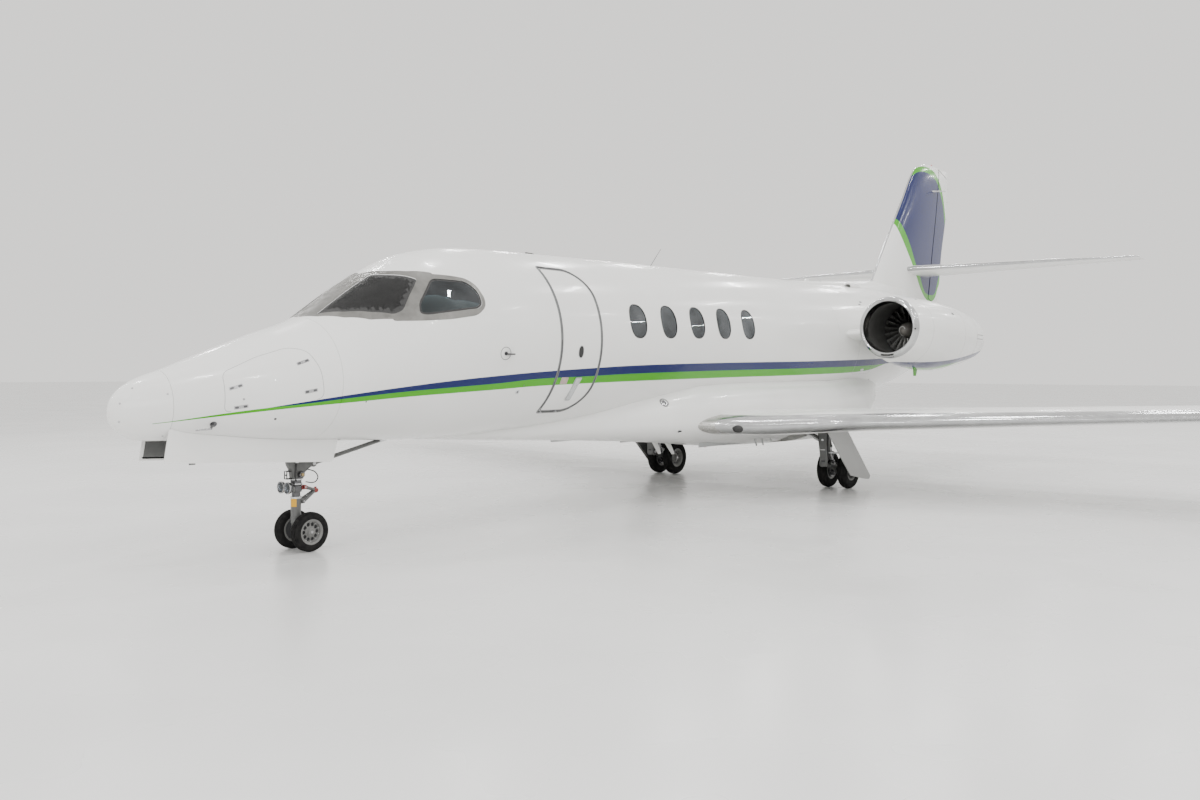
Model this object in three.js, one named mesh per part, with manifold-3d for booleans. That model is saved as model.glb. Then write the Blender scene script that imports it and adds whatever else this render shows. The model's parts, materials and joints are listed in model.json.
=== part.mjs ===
// A twin-engined business jet with a low wing and a cruciform tail, parked on its landing gear.
// Millimetres. +Z is up, the nose points along -Y and the entry door is on the +X side (port).
// Every y below is a station, the distance behind the tip of the nose. The outer group moves
// the middle of the length to the origin.

import * as THREE from 'three';
import { mergeVertices } from 'three/addons/utils/BufferGeometryUtils.js';
import Module from 'manifold-3d';

const wasm = await Module();
wasm.setup();

// Overall size
const LENGTH = 18970;
const FIN_TOP = 6380;

// Clearances
const SEAT_GAP = 0.3;
const RUNNING_GAP = 6;
const END_GAP = 14;

// Fuselage
const BARREL_RADIUS = 1060;
const WALL = 90;
const TAIL_WALL = 30;
const RADOME_END = 420;
const NOSE_END = 1800;
const CABIN_END = 11300;
const AFT_END = 16200;
const TAIL_END = 18700;
const BAY_END = 18000;
const RING_POINTS = 28;

// Engines
const ENGINE_X = 1800;
const ENGINE_Z = 2490;
const ENGINE_SLOPE = -0.026;
const INTAKE_START = 11440;
const DUCT_RADIUS = 435;
const FAN_STATION = 12350;
const REVERSER_START = 14200;
const NOZZLE_END = 15150;

// Landing gear
const NOSE_AXLE = { station: 1845, z: 192, tyre: 192, width: 105, spread: 145, rim: 115 };
const MAIN_AXLE = { station: 10130, z: 280, tyre: 280, width: 146, spread: 163.5, rim: 145 };
const MAIN_GEAR_X = 1610;
const NOSE_BAY = { x: 215, from: 520, to: 2160, roof: 1300 };
const LEG_BAY = { from: 9430, to: 9870, inner: 1000, outer: 1760, roof: 1010 };
const WHEEL_BAY = { from: 9780, to: 10480, inner: 420, outer: 1120, roof: 950 };

// Entry door
const DOOR = {
  from: 4462, to: 5168, low: 1283, high: 2950, inner: 490, rearCorner: 330, gap: 17, flange: 25, pan: 60,
};
const DOOR_HINGE = { x: 662, z: 1279, radius: 8, play: 0.5, halfWidth: 30, stations: [4530, 4780] };

// Materials
const paint = (color) => new THREE.MeshStandardMaterial({ color, roughness: 0.25, metalness: 0.1 });
const metal = (color) => new THREE.MeshStandardMaterial({ color, roughness: 0.3, metalness: 0.9 });
const soft = (color) => new THREE.MeshStandardMaterial({ color, roughness: 0.9, metalness: 0 });
const WHITE = paint(0xe9e9e6);
const BLUE = paint(0x1c2e6e);
const GEAR_GREY = paint(0xb9bcbc);
const DARK_METAL = metal(0x3a3c3e);
const RUBBER = soft(0x141414);
const LEATHER = soft(0xb8a88c);
const PANEL = soft(0x2b2c2e);
const GLASS = new THREE.MeshStandardMaterial({ color: 0x27343c, roughness: 0.05, metalness: 0 });

// Solids and their joins

function solid(geometry) {
  const plain = geometry.clone();
  plain.deleteAttribute('normal');
  plain.deleteAttribute('uv');
  const merged = mergeVertices(plain, 1e-3);
  const index = merged.index.array;
  const triangles = [];
  for (let i = 0; i < index.length; i += 3) {
    const [a, b, c] = [index[i], index[i + 1], index[i + 2]];
    if (a !== b && b !== c && c !== a) triangles.push(a, b, c);
  }
  return new wasm.Manifold(new wasm.Mesh({
    numProp: 3,
    vertProperties: new Float32Array(merged.attributes.position.array),
    triVerts: new Uint32Array(triangles),
  }));
}

function geometryOf(manifold) {
  const { vertProperties, triVerts } = manifold.getMesh();
  const geometry = new THREE.BufferGeometry();
  geometry.setAttribute('position', new THREE.BufferAttribute(vertProperties, 3));
  geometry.setIndex(new THREE.BufferAttribute(triVerts, 1));
  geometry.computeVertexNormals();
  return geometry;
}

const join = (...solids) => solids.reduce((whole, next) => whole.add(next));
const cut = (body, ...tools) => tools.reduce((left, tool) => left.subtract(tool), body);

function placed(geometry, x, y, z, turn = [0, 0, 0]) {
  const matrix = new THREE.Matrix4().makeRotationFromEuler(new THREE.Euler(...turn));
  matrix.setPosition(x, y, z);
  return geometry.applyMatrix4(matrix);
}

function box(x0, x1, y0, y1, z0, z1) {
  const geometry = new THREE.BoxGeometry(Math.abs(x1 - x0), y1 - y0, z1 - z0);
  return solid(placed(geometry, (x0 + x1) / 2, (y0 + y1) / 2, (z0 + z1) / 2));
}

// A cylinder or cone from one point to another
function rod(from, to, radius, endRadius = radius, sides = 10) {
  const start = new THREE.Vector3(...from);
  const end = new THREE.Vector3(...to);
  const axis = end.clone().sub(start);
  const geometry = new THREE.CylinderGeometry(endRadius, radius, axis.length(), sides);
  const turn = new THREE.Quaternion().setFromUnitVectors(new THREE.Vector3(0, 1, 0), axis.normalize());
  const middle = start.add(end).multiplyScalar(0.5);
  return solid(geometry.applyMatrix4(new THREE.Matrix4().compose(middle, turn, new THREE.Vector3(1, 1, 1))));
}

// A box along a line: it reaches `fore` and `aft` of the line and `up` and `down` along the normal.
// `fore` may be a pair, for its two ends.
function slab(from, to, normal, { fore, aft, up, down, over = 0 }) {
  const start = new THREE.Vector3(...from);
  const along = new THREE.Vector3(...to).sub(start);
  const length = along.length();
  along.normalize();
  const lift = new THREE.Vector3(...normal);
  lift.addScaledVector(along, -lift.dot(along)).normalize();
  const back = new THREE.Vector3().crossVectors(lift, along);
  const sign = back.y < 0 ? -1 : 1;
  const geometry = new THREE.BoxGeometry(length + 2 * over, 2, up + down);
  geometry.translate(length / 2, 0, (up - down) / 2);
  const [first, last] = [fore, fore].flat().slice(0, 2);
  const corners = geometry.attributes.position;
  for (let i = 0; i < corners.count; i += 1) {
    const ahead = lerp(first, last, corners.getX(i) / length);
    corners.setY(i, sign * (sign * corners.getY(i) > 0 ? aft : -ahead));
  }
  const matrix = new THREE.Matrix4().makeBasis(along, back, lift).setPosition(start);
  return solid(geometry.applyMatrix4(matrix));
}

// A flat outline pushed along one axis. Its two columns are (y, z), (x, z) or (x, y).
function prism(outline, axis, from, to) {
  const shape = new THREE.Shape(outline.map(([u, v]) => new THREE.Vector2(u, v)));
  const geometry = new THREE.ExtrudeGeometry(shape, { depth: to - from, bevelEnabled: false });
  const bases = {
    x: [[0, 1, 0], [0, 0, 1], [1, 0, 0]],
    y: [[1, 0, 0], [0, 0, 1], [0, -1, 0]],
    z: [[1, 0, 0], [0, 1, 0], [0, 0, 1]],
  };
  geometry.translate(0, 0, axis === 'y' ? -to : from);
  const basis = bases[axis].map((v) => new THREE.Vector3(...v));
  return solid(geometry.applyMatrix4(new THREE.Matrix4().makeBasis(...basis)));
}

// A solid through closed rings with equal numbers of points, flat at both ends. Each patch is
// split along its shorter diagonal, so the port and starboard sides match.
function loft(rings) {
  const count = rings[0].length;
  const positions = rings.flat(2);
  const corner = (i) => new THREE.Vector3(...positions.slice(3 * i, 3 * i + 3));
  const apart = (i, j) => corner(i).distanceTo(corner(j));
  const triangles = [];
  for (let k = 0; k + 1 < rings.length; k += 1) {
    for (let i = 0; i < count; i += 1) {
      const [a, b] = [k * count + i, k * count + ((i + 1) % count)];
      const [c, d] = [b + count, a + count];
      if (apart(a, c) < apart(b, d)) triangles.push([a, b, c], [a, c, d]);
      else triangles.push([a, b, d], [b, c, d]);
    }
  }
  const last = (rings.length - 1) * count;
  triangles.push(...cap(rings[0], 0, true), ...cap(rings[rings.length - 1], last, false));
  const volume = triangles.reduce((sum, [a, b, c]) => sum + corner(a).dot(corner(b).cross(corner(c))), 0);
  const outward = volume < 0 ? triangles.map(([a, b, c]) => [a, c, b]) : triangles;
  const geometry = new THREE.BufferGeometry();
  geometry.setAttribute('position', new THREE.Float32BufferAttribute(positions, 3));
  geometry.setIndex(outward.flat());
  return solid(geometry);
}

function cap(ring, first, backward) {
  const extents = [0, 1, 2].map((k) => {
    const values = ring.map((point) => point[k]);
    return Math.max(...values) - Math.min(...values);
  });
  const flat = extents.indexOf(Math.min(...extents));
  const [u, v] = [0, 1, 2].filter((k) => k !== flat);
  const contour = ring.map((p) => new THREE.Vector2(p[u], p[v]));
  const faces = THREE.ShapeUtils.triangulateShape(contour, []);
  const follows = faces.some((f) => f.some((a, i) => a === 0 && f[(i + 1) % 3] === 1));
  return faces.map(([a, b, c]) => (follows === backward ? [a, c, b] : [a, b, c]).map((i) => i + first));
}

const mirrored = (body) => body.mirror([1, 0, 0]);
const lerp = THREE.MathUtils.lerp;

// A row of a table at any station, the columns in between in proportion
function rowAt(table, station) {
  const next = Math.max(1, table.findIndex((row) => row[0] >= station));
  const [a, b] = [table[next - 1], table[next]];
  const part = (station - a[0]) / (b[0] - a[0]);
  return a.map((value, k) => lerp(value, b[k], part));
}

function stationsBetween(table, from, to) {
  const inside = table.map((row) => row[0]).filter((s) => s > from + 1 && s < to - 1);
  return [from, ...inside, to];
}

// Fuselage skin. Columns: station, top z, bottom z, half width, z of the widest point
const SKIN = [
  [0, 1415, 1365, 20, 1385],
  [20, 1500, 1300, 60, 1400],
  [100, 1600, 1212, 130, 1410],
  [230, 1680, 1148, 200, 1420],
  [455, 1762, 1137, 310, 1440],
  [800, 1900, 1127, 440, 1490],
  [1300, 2092, 1090, 610, 1560],
  [1800, 2270, 1065, 750, 1640],
  [2050, 2440, 1056, 815, 1700],
  [2290, 2610, 1046, 860, 1760],
  [2660, 2830, 1034, 930, 1880],
  [3050, 3010, 1020, 985, 1970],
  [3600, 3120, 1020, 1040, 2060],
  [4200, 3160, 1040, 1060, 2100],
  [11300, 3332, 1212, 1060, 2272],
  [12500, 3361, 1246, 1055, 2300],
  [13400, 3380, 1310, 1020, 2335],
  [14400, 3390, 1420, 950, 2400],
  [15300, 3390, 1585, 840, 2470],
  [16200, 3380, 1790, 690, 2560],
  [17100, 3350, 2050, 490, 2660],
  [17900, 3290, 2340, 290, 2780],
  [18450, 3180, 2600, 150, 2880],
  [18700, 3050, 2740, 70, 2900],
];
const barrelCentre = (station) => rowAt(SKIN, station)[4];

// Wing fairing under the belly. Columns as in SKIN
const FAIRING = [
  [3250, 1150, 1010, 120, 1070],
  [4500, 1180, 935, 300, 1050],
  [5400, 1300, 890, 540, 1090],
  [6200, 1480, 843, 820, 1100],
  [7000, 1625, 787, 1035, 1110],
  [7500, 1700, 750, 1125, 1120],
  [8800, 1735, 640, 1165, 1140],
  [11300, 1735, 600, 1165, 1150],
  [12200, 1800, 690, 1110, 1180],
  [13000, 1800, 980, 900, 1300],
  [13800, 1800, 1260, 560, 1450],
];

// Ring round a table row, an ellipse when power is 2 and squarer above it
function bodyRing(table, station, inset = 0, power = 2) {
  const [, top, bottom, halfWidth, widest] = rowAt(table, station);
  const ring = [];
  for (let i = 0; i < RING_POINTS; i += 1) {
    const angle = (2 * Math.PI * i) / RING_POINTS;
    const [c, s] = [Math.cos(angle), Math.sin(angle)];
    const reach = s > 0 ? top - inset - widest : widest - bottom - inset;
    const x = Math.sign(c) * Math.abs(c) ** (2 / power) * (halfWidth - inset);
    const z = widest + Math.sign(s) * Math.abs(s) ** (2 / power) * reach;
    ring.push([x, station, z]);
  }
  return ring;
}

function body(table, from, to, inset = 0, power = 2) {
  return loft(stationsBetween(table, from, to).map((s) => bodyRing(table, s, inset, power)));
}

const seam = SEAT_GAP / 2;
const skin = body(SKIN, 0, TAIL_END);
const skinWithGap = body(SKIN, 0, TAIL_END, -SEAT_GAP);
const FAIRING_POWER = 2.5;
const fairingWithGap = body(FAIRING, 3250, 13800, -SEAT_GAP, FAIRING_POWER);

// Windows. Front pane corners are (x, y), side pane corners are (y, z)
const FRONT_PANE = [[130, 1900], [130, 2500], [500, 2715], [610, 2755], [715, 2440], [655, 2270]];
const SIDE_PANE = [
  [2640, 2320], [2720, 2307], [3320, 2400], [3375, 2450], [3378, 2577], [3285, 2691], [2916, 2702], [2670, 2430],
];
const WINDOW = { width: 330, height: 418, pitch: 641, first: 5888, count: 5, rise: 221, points: 10 };

function scaledOutline(outline, inset) {
  const centre = outline.reduce(([u, v], [a, b]) => [u + a / outline.length, v + b / outline.length], [0, 0]);
  return outline.map(([a, b]) => {
    const reach = Math.hypot(a - centre[0], b - centre[1]);
    const factor = (reach - inset) / reach;
    return [centre[0] + (a - centre[0]) * factor, centre[1] + (b - centre[1]) * factor];
  });
}

function ovalOutline(y, z, width, height, points, power = 2.5) {
  return Array.from({ length: points }, (_, i) => {
    const angle = (2 * Math.PI * (i + 0.5)) / points;
    const [c, s] = [Math.cos(angle), Math.sin(angle)];
    const u = Math.sign(c) * Math.abs(c) ** (2 / power) * (width / 2);
    const v = Math.sign(s) * Math.abs(s) ** (2 / power) * (height / 2);
    return [y + u, z + v];
  });
}

function cabinWindows(side, inset) {
  const extra = side < 0 ? 1 : 0;
  const outer = side * (BARREL_RADIUS + 100);
  const inner = side * (BARREL_RADIUS - 400);
  return Array.from({ length: WINDOW.count + extra }, (_, i) => {
    const y = WINDOW.first + (i - extra) * WINDOW.pitch;
    const z = barrelCentre(y) + WINDOW.rise;
    const outline = ovalOutline(y, z, WINDOW.width - 2 * inset, WINDOW.height - 2 * inset, WINDOW.points);
    return prism(outline, 'x', Math.min(inner, outer), Math.max(inner, outer));
  });
}

const onSide = (side, made) => (side > 0 ? made : mirrored(made));
const frontPane = (side, inset) => onSide(side, prism(scaledOutline(FRONT_PANE, inset), 'z', 2180, 2950));
const sidePane = (side, inset) => onSide(side, prism(scaledOutline(SIDE_PANE, inset), 'x', 400, 1200));

// Entry door outline in (y, z), with round corners at the rear
function doorOutline(inset) {
  const { from, to, low, high, rearCorner } = DOOR;
  const radius = rearCorner - inset;
  const steps = 6;
  const corner = (y, z, start) => Array.from({ length: steps + 1 }, (_, i) => {
    const angle = start + (Math.PI / 2) * (i / steps);
    return [y + radius * Math.cos(angle), z + radius * Math.sin(angle)];
  });
  return [
    [from + inset, low + inset],
    ...corner(to - rearCorner, low + rearCorner, -Math.PI / 2),
    ...corner(to - rearCorner, high - rearCorner, 0),
    [from + inset, high - inset],
  ];
}

// Knuckles on the door's lower edge, half sunk in grooves of the sill
function doorKnuckles(grow) {
  const { x, z, radius, halfWidth, stations } = DOOR_HINGE;
  const reach = halfWidth + grow;
  const wide = radius + grow;
  return join(...stations.map((y) => rod([x, y - reach, z], [x, y + reach, z], wide, wide, 24)));
}

// The arms that hold the knuckles on the door's edge
function doorArms() {
  const { x, z, radius, halfWidth, stations } = DOOR_HINGE;
  const thick = radius - 1;
  const top = DOOR.low + DOOR.gap + 15;
  return join(...stations.map((y) => box(x - thick, x + thick, y - halfWidth, y + halfWidth, z, top)));
}

// Galley and closet, floor to ceiling at either side behind the cockpit. Columns: x, x, from, to
const CABINETS = [[-1100, -480, 3420, 4900], [480, 1100, 3420, 4300]];

// The hollow of the cockpit and the cabin, flat at its floors
const COCKPIT_FLOOR = 1500;
const COCKPIT_FRONT = 1980;
const CABIN_FRONT = 3300;
const BULKHEAD = 11150;
const FLOOR_DROP = 760;
const floorAt = (station) => barrelCentre(station) - FLOOR_DROP;

function cabinSpace(inset) {
  const round = body(SKIN, COCKPIT_FRONT + inset - WALL, BULKHEAD + WALL - inset, inset);
  const above = [
    [COCKPIT_FRONT - 500, COCKPIT_FLOOR + inset - WALL],
    [CABIN_FRONT + inset - WALL, COCKPIT_FLOOR + inset - WALL],
    [CABIN_FRONT + inset - WALL, floorAt(CABIN_FRONT) + inset - WALL],
    [BULKHEAD + 500, floorAt(BULKHEAD) + inset - WALL],
    [BULKHEAD + 500, 4000],
    [COCKPIT_FRONT - 500, 4000],
  ];
  return round.intersect(prism(above, 'x', -1500, 1500));
}

const noseBay = box(-NOSE_BAY.x, NOSE_BAY.x, NOSE_BAY.from, NOSE_BAY.to, 700, NOSE_BAY.roof);

const pieces = [];
function piece(name, made, material) {
  const mesh = new THREE.Mesh(made.isBufferGeometry ? made : geometryOf(made), material);
  mesh.name = name;
  pieces.push(mesh);
}

function bothSides(name, made, material) {
  piece(`${name}_left`, made, material);
  piece(`${name}_right`, mirrored(made), material);
}

// Nose and cabin
function addFuselage() {
  piece('radome', body(SKIN, 0, RADOME_END - seam), WHITE);
  piece('nose_section', cut(body(SKIN, RADOME_END + seam, NOSE_END - seam), noseBay), WHITE);
  const panes = (side) => [frontPane(side, 0), sidePane(side, 0), ...cabinWindows(side, 0)];
  const doorway = prism(doorOutline(0), 'x', DOOR.inner, 1300);
  const cabinets = CABINETS.map(([x0, x1, from, to]) => box(x0, x1, from, to, 1000, 3400));
  const hollow = cut(cabinSpace(WALL), ...cabinets);
  const grooves = doorKnuckles(DOOR_HINGE.play);
  const barrel = body(SKIN, NOSE_END + seam, CABIN_END - seam);
  piece('cabin_shell', cut(barrel, hollow, noseBay, doorway, grooves, ...panes(1), ...panes(-1)), WHITE);
  const bay = body(SKIN, CABIN_END - 50, BAY_END, TAIL_WALL);
  const rear = cut(join(body(SKIN, CABIN_END + seam, AFT_END - seam), dorsalSpine()), skyInlet(), bay);
  piece('aft_fuselage', rear, WHITE);
  piece('tail_cone', cut(body(SKIN, AFT_END + seam, TAIL_END), bay), WHITE);
}

// The raised spine in front of the fin. Columns: station, top z, half width
const SPINE = [
  [11305, 3338, 30],
  [11900, 3372, 70],
  [13030, 3445, 130],
  [13870, 3502, 150],
  [14830, 3579, 150],
  [16150, 3600, 120],
];

function dorsalSpine(grow = 0) {
  const points = 9;
  const ring = ([station, top, halfWidth]) => {
    const foot = rowAt(SKIN, station)[1] - 120;
    const arch = Array.from({ length: points }, (_, i) => {
      const angle = (Math.PI * i) / (points - 1);
      const x = (halfWidth * 1.6 + grow) * Math.cos(angle);
      return [x, station, foot + (top + grow - foot) * Math.sin(angle)];
    });
    return arch;
  };
  const scoop = rod([SCOOP.x, SCOOP.from, SCOOP.z], [SCOOP.x * 0.4, SCOOP.to, SCOOP.z], SCOOP.radius, 60);
  return join(loft(SPINE.map(ring)), scoop);
}

const SCOOP = { x: 260, z: 3340, from: 13220, to: 14100, radius: 100, bore: 56, depth: 260 };
function skyInlet() {
  const { x, z, from, bore, depth } = SCOOP;
  return rod([x, from - 10, z], [x - 20, from + depth, z], bore);
}

function addBelly() {
  const wells = [1, -1].map((side) => onSide(side, join(wheelWell(), legWell())));
  const fairing = cut(body(FAIRING, 3250, 13800, 0, FAIRING_POWER), skinWithGap, ...wells);
  piece('belly_fairing', fairing, WHITE);
}

const well = ({ inner, outer, from, to, roof }) => box(inner, outer, from, to, 500, roof);
const wheelWell = () => well(WHEEL_BAY);
const legWell = () => well(LEG_BAY);

function addWindows() {
  const paneSkin = cut(skin, body(SKIN, 30, TAIL_END - 50, 22));
  for (const [side, name] of [[1, 'left'], [-1, 'right']]) {
    piece(`windshield_${name}`, paneSkin.intersect(frontPane(side, SEAT_GAP)), GLASS);
    piece(`side_window_${name}`, paneSkin.intersect(sidePane(side, SEAT_GAP)), GLASS);
    piece(`cabin_windows_${name}`, cabinGlass(side), GLASS);
  }
}

function cabinGlass(side) {
  const panes = cabinWindows(side, SEAT_GAP);
  const first = WINDOW.first - (side < 0 ? WINDOW.pitch : 0) - 250;
  const last = WINDOW.first + (WINDOW.count - 1) * WINDOW.pitch + 250;
  const middle = (first + last) / 2;
  const tall = WINDOW.height / 2 + 90;
  const z = barrelCentre(middle) + WINDOW.rise;
  const bandBox = onSide(side, box(500, 1200, first, last, z - tall, z + tall));
  const lining = body(SKIN, first - 200, last + 200, WALL + SEAT_GAP);
  const band = cut(lining, body(SKIN, first - 300, last + 300, WALL + 15)).intersect(bandBox);
  const plugs = cut(body(SKIN, first - 200, last + 200, 4), body(SKIN, first - 300, last + 300, WALL + 8));
  return join(band, ...panes.map((pane) => plugs.intersect(pane)));
}

// Cabin fittings
function seat(x, y, floor, facing, width = 520) {
  const half = width / 2;
  const ahead = (a, b) => (facing > 0 ? [y - b, y - a] : [y + a, y + b]);
  return join(
    box(x - half * 0.5, x + half * 0.5, ...ahead(-180, 180), floor + 10, floor + 270),
    box(x - half, x + half, ...ahead(-260, 290), floor + 260, floor + 440),
    box(x - half, x + half, ...ahead(-380, -240), floor + 280, floor + 1000),
    box(x - half * 0.6, x + half * 0.6, ...ahead(-370, -260), floor + 990, floor + 1150),
  );
}

function addCabin() {
  const space = cabinSpace(WALL + SEAT_GAP);
  const desk = join(
    box(-760, 760, COCKPIT_FRONT, 2330, COCKPIT_FLOOR, 2140),
    box(-760, 760, COCKPIT_FRONT, 2480, 2110, 2170),
    box(-130, 130, 2300, 2770, COCKPIT_FLOOR, 1830),
  );
  piece('instrument_panel', desk.intersect(space), PANEL);
  const cockpit = join(
    seat(-390, 3010, COCKPIT_FLOOR, 1, 480),
    seat(390, 3010, COCKPIT_FLOOR, 1, 480),
    box(-640, 640, 2780, 3200, COCKPIT_FLOOR, COCKPIT_FLOOR + 40),
  );
  piece('cockpit_seats', cockpit.intersect(space), LEATHER);
  const rows = [[6150, -1], [7420, 1], [8330, -1], [9600, 1]];
  const cabin = join(
    ...rows.flatMap(([y, facing]) => [-1, 1].map((side) => seat(side * 500, y, floorAt(y), facing))),
    floorPlate(5700, 10000),
  );
  piece('cabin_seats', cabin.intersect(space), LEATHER);
}

function floorPlate(from, to) {
  const outline = [
    [from, floorAt(from) - 50],
    [to, floorAt(to) - 50],
    [to, floorAt(to) + 30],
    [from, floorAt(from) + 30],
  ];
  return prism(outline, 'x', -900, 900);
}

function addDoor() {
  const wall = (outer, inner) => cut(body(SKIN, 4000, 5600, outer), body(SKIN, 3900, 5700, inner));
  const within = (inset) => prism(doorOutline(inset), 'x', DOOR.inner + 4, 1300);
  const flange = wall(0, DOOR.flange).intersect(within(DOOR.gap));
  const panel = join(flange, wall(DOOR.flange - 5, WALL).intersect(within(DOOR.pan)));
  const middle = (DOOR.from + DOOR.to) / 2;
  const centre = barrelCentre(middle);
  const step = (k) => {
    const z = DOOR.low + 260 + k * 330;
    const shell = Math.sqrt((BARREL_RADIUS - WALL + 10) ** 2 - (z - centre) ** 2);
    return box(shell - 190, shell + 20, DOOR.from + 130, DOOR.to - 130, z, z + 40);
  };
  piece('entry_door', join(panel, doorKnuckles(0), doorArms(), ...[0, 1, 2, 3].map(step)), WHITE);
}

// Half thickness of a symmetric four-digit aerofoil at a part of the chord, both as parts of the chord
function halfThickness(thickness, part) {
  const series = 0.2969 * Math.sqrt(part) - 0.126 * part - 0.3516 * part ** 2 + 0.2843 * part ** 3 - 0.1 * part ** 4;
  return 5 * thickness * series;
}

const camberLine = (camber, part) => camber * 4 * part * (1 - part);

// Aerofoil ring, from the trailing edge over the top and back underneath, as (chord, height) parts
function aerofoil(thickness, camber, points = 8) {
  const upper = [];
  const lower = [];
  for (let i = 0; i <= points; i += 1) {
    const x = 0.5 * (1 + Math.cos((Math.PI * i) / points));
    const half = halfThickness(thickness, x);
    const line = camberLine(camber, x);
    upper.push([x, line + half]);
    if (i < points) lower.unshift([x, line - half]);
  }
  return [...upper, ...lower];
}

// Wing. Columns: x, leading-edge station, leading-edge z, trailing-edge station, thickness, camber
const WING = [
  [900, 7050, 1050, 11700, 0.078, 0.0],
  [1300, 7330, 1040, 11730, 0.078, 0.002],
  [1550, 7720, 1025, 11740, 0.085, 0.005],
  [1900, 8230, 1035, 11750, 0.095, 0.008],
  [2350, 8657, 1056, 11755, 0.1, 0.01],
  [3500, 9048, 1103, 11770, 0.1, 0.012],
  [6400, 10034, 1223, 12130, 0.096, 0.014],
  [10850, 11547, 1407, 12715, 0.092, 0.014],
  [10980, 11660, 1412, 12735, 0.07, 0.01],
  [11025, 11830, 1415, 12700, 0.04, 0.005],
];

function wingRing([x, lead, z, trail, thickness, camber]) {
  const chord = trail - lead;
  return aerofoil(thickness, camber).map(([along, up]) => [x, lead + along * chord, z + up * chord]);
}

// Points on the wing's trailing part: the station at a part of the chord, and the z of the camber line
function wingPoint(x, part, level = 0) {
  const [, lead, z, trail, thickness, camber] = rowAt(WING, x);
  const chord = trail - lead;
  const half = halfThickness(thickness, part);
  const height = camberLine(camber, part) + level * half;
  return { at: [x, lead + part * chord, z + height * chord], half: half * chord };
}

// Pins that carry a hinged surface, each ending just short of the fixed structure
function endPins(start, end, radius) {
  const along = new THREE.Vector3(...end).sub(new THREE.Vector3(...start)).normalize();
  const shifted = (point, distance) => new THREE.Vector3(...point).addScaledVector(along, distance).toArray();
  const reach = END_GAP - SEAT_GAP;
  const inside = 25;
  return join(
    rod(shifted(start, -reach), shifted(start, inside), radius, radius, 6),
    rod(shifted(end, -inside), shifted(end, reach), radius, radius, 6),
  );
}

// A surface hinged along a line at its round nose, and the space cleared for it
function hinged(host, start, end, noses, normal) {
  const reach = { aft: 2500, up: 400, down: 400 };
  const flap = host.intersect(slab(start, end, normal, { fore: 0, ...reach }));
  const nose = rod(start, end, noses[0], noses[1], 10);
  const fore = noses.map((nose) => nose + RUNNING_GAP);
  const clear = slab(start, end, normal, { fore, ...reach, over: END_GAP });
  return { moving: join(flap, nose, endPins(start, end, SURFACE_PIN)), fixed: host.subtract(clear) };
}

// The flap turns on its lower edge, so what hangs below the hinge line is bevelled by the angle it opens to
const FLAP = { inner: 1420, outer: 6550, part: 0.76, opens: 35 };
const AILERON = { inner: 6700, outer: 10500, part: 0.77 };
const NOSE_FILL = 0.93;
const SURFACE_PIN = 12;
const FLAP_PIN = 5;

function addWings() {
  const full = loft(WING.map(wingRing));
  const wing = cut(full, fairingWithGap, skinWithGap);
  const aileronEnds = [AILERON.inner, AILERON.outer].map((x) => wingPoint(x, AILERON.part));
  const aileron = hinged(wing, aileronEnds[0].at, aileronEnds[1].at,
    aileronEnds.map((end) => end.half * NOSE_FILL), [0, 0, 1]);
  const flapEnds = [FLAP.inner, FLAP.outer].map((x) => wingPoint(x, FLAP.part, -1));
  const reach = { aft: 2500, up: 500, down: 200 };
  const [root, tip] = flapEnds.map((end) => end.at);
  const flapBody = aileron.fixed.intersect(slab(root, tip, [0, 0, 1], { fore: 0, ...reach }));
  const angle = THREE.MathUtils.degToRad(FLAP.opens);
  const bevel = slab(root, tip, [0, -Math.sin(angle), Math.cos(angle)], { fore: 0, ...reach, down: 2500 });
  const flap = join(flapBody.intersect(bevel), endPins(root, tip, FLAP_PIN));
  const flapSpace = slab(root, tip, [0, 0, 1], { fore: RUNNING_GAP, ...reach, over: END_GAP });
  const fixed = cut(aileron.fixed, flapSpace, legWell(), wheelWell());
  bothSides('wing', fixed, WHITE);
  bothSides('flap', flap, WHITE);
  bothSides('aileron', aileron.moving, WHITE);
}

// Fin and stabiliser. Columns: position across the span, leading station, trailing station, thickness
const FIN = [
  [3250, 14520, 18240, 0.075],
  [3570, 14800, 18360, 0.08],
  [4450, 15500, 18530, 0.085],
  [5390, 16290, 18800, 0.09],
  [6060, 16840, 18870, 0.09],
  [6220, 17060, 18878, 0.08],
  [6320, 17380, 18885, 0.06],
  [FIN_TOP, 17800, 18890, 0.045],
];
const STABILISER = [
  [0, 16190, 18160, 3935, 0.1],
  [3850, 18120, 18925, 4092, 0.09],
  [4030, 18230, LENGTH, 4099, 0.07],
  [4080, 18400, 18945, 4100, 0.03],
];
const RUDDER_HINGE = [[0, 17640, 3400], [0, 18290, 6340]];
const ELEVATOR = { inner: 330, outer: 4000, part: 0.74, notch: 60 };

function finRing([z, lead, trail, thickness]) {
  const chord = trail - lead;
  return aerofoil(thickness, 0).map(([along, side]) => [side * chord, lead + along * chord, z]);
}

function tailRing([x, lead, trail, z, thickness], sign, grow = 0) {
  const chord = trail - lead;
  return aerofoil(thickness, 0).map(([along, up]) => [
    sign * x, lead + along * chord + grow * (2 * along - 1), z + up * chord + grow * Math.sign(up),
  ]);
}

function tailplane(grow) {
  const left = [...STABILISER].reverse().map((row) => tailRing(row, -1, grow));
  const right = STABILISER.slice(1).map((row) => tailRing(row, 1, grow));
  return loft([...left, ...right]);
}

function finHalf([, station, z]) {
  const [, lead, trail, thickness] = rowAt(FIN, z);
  const chord = trail - lead;
  return halfThickness(thickness, (station - lead) / chord) * chord;
}

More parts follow.
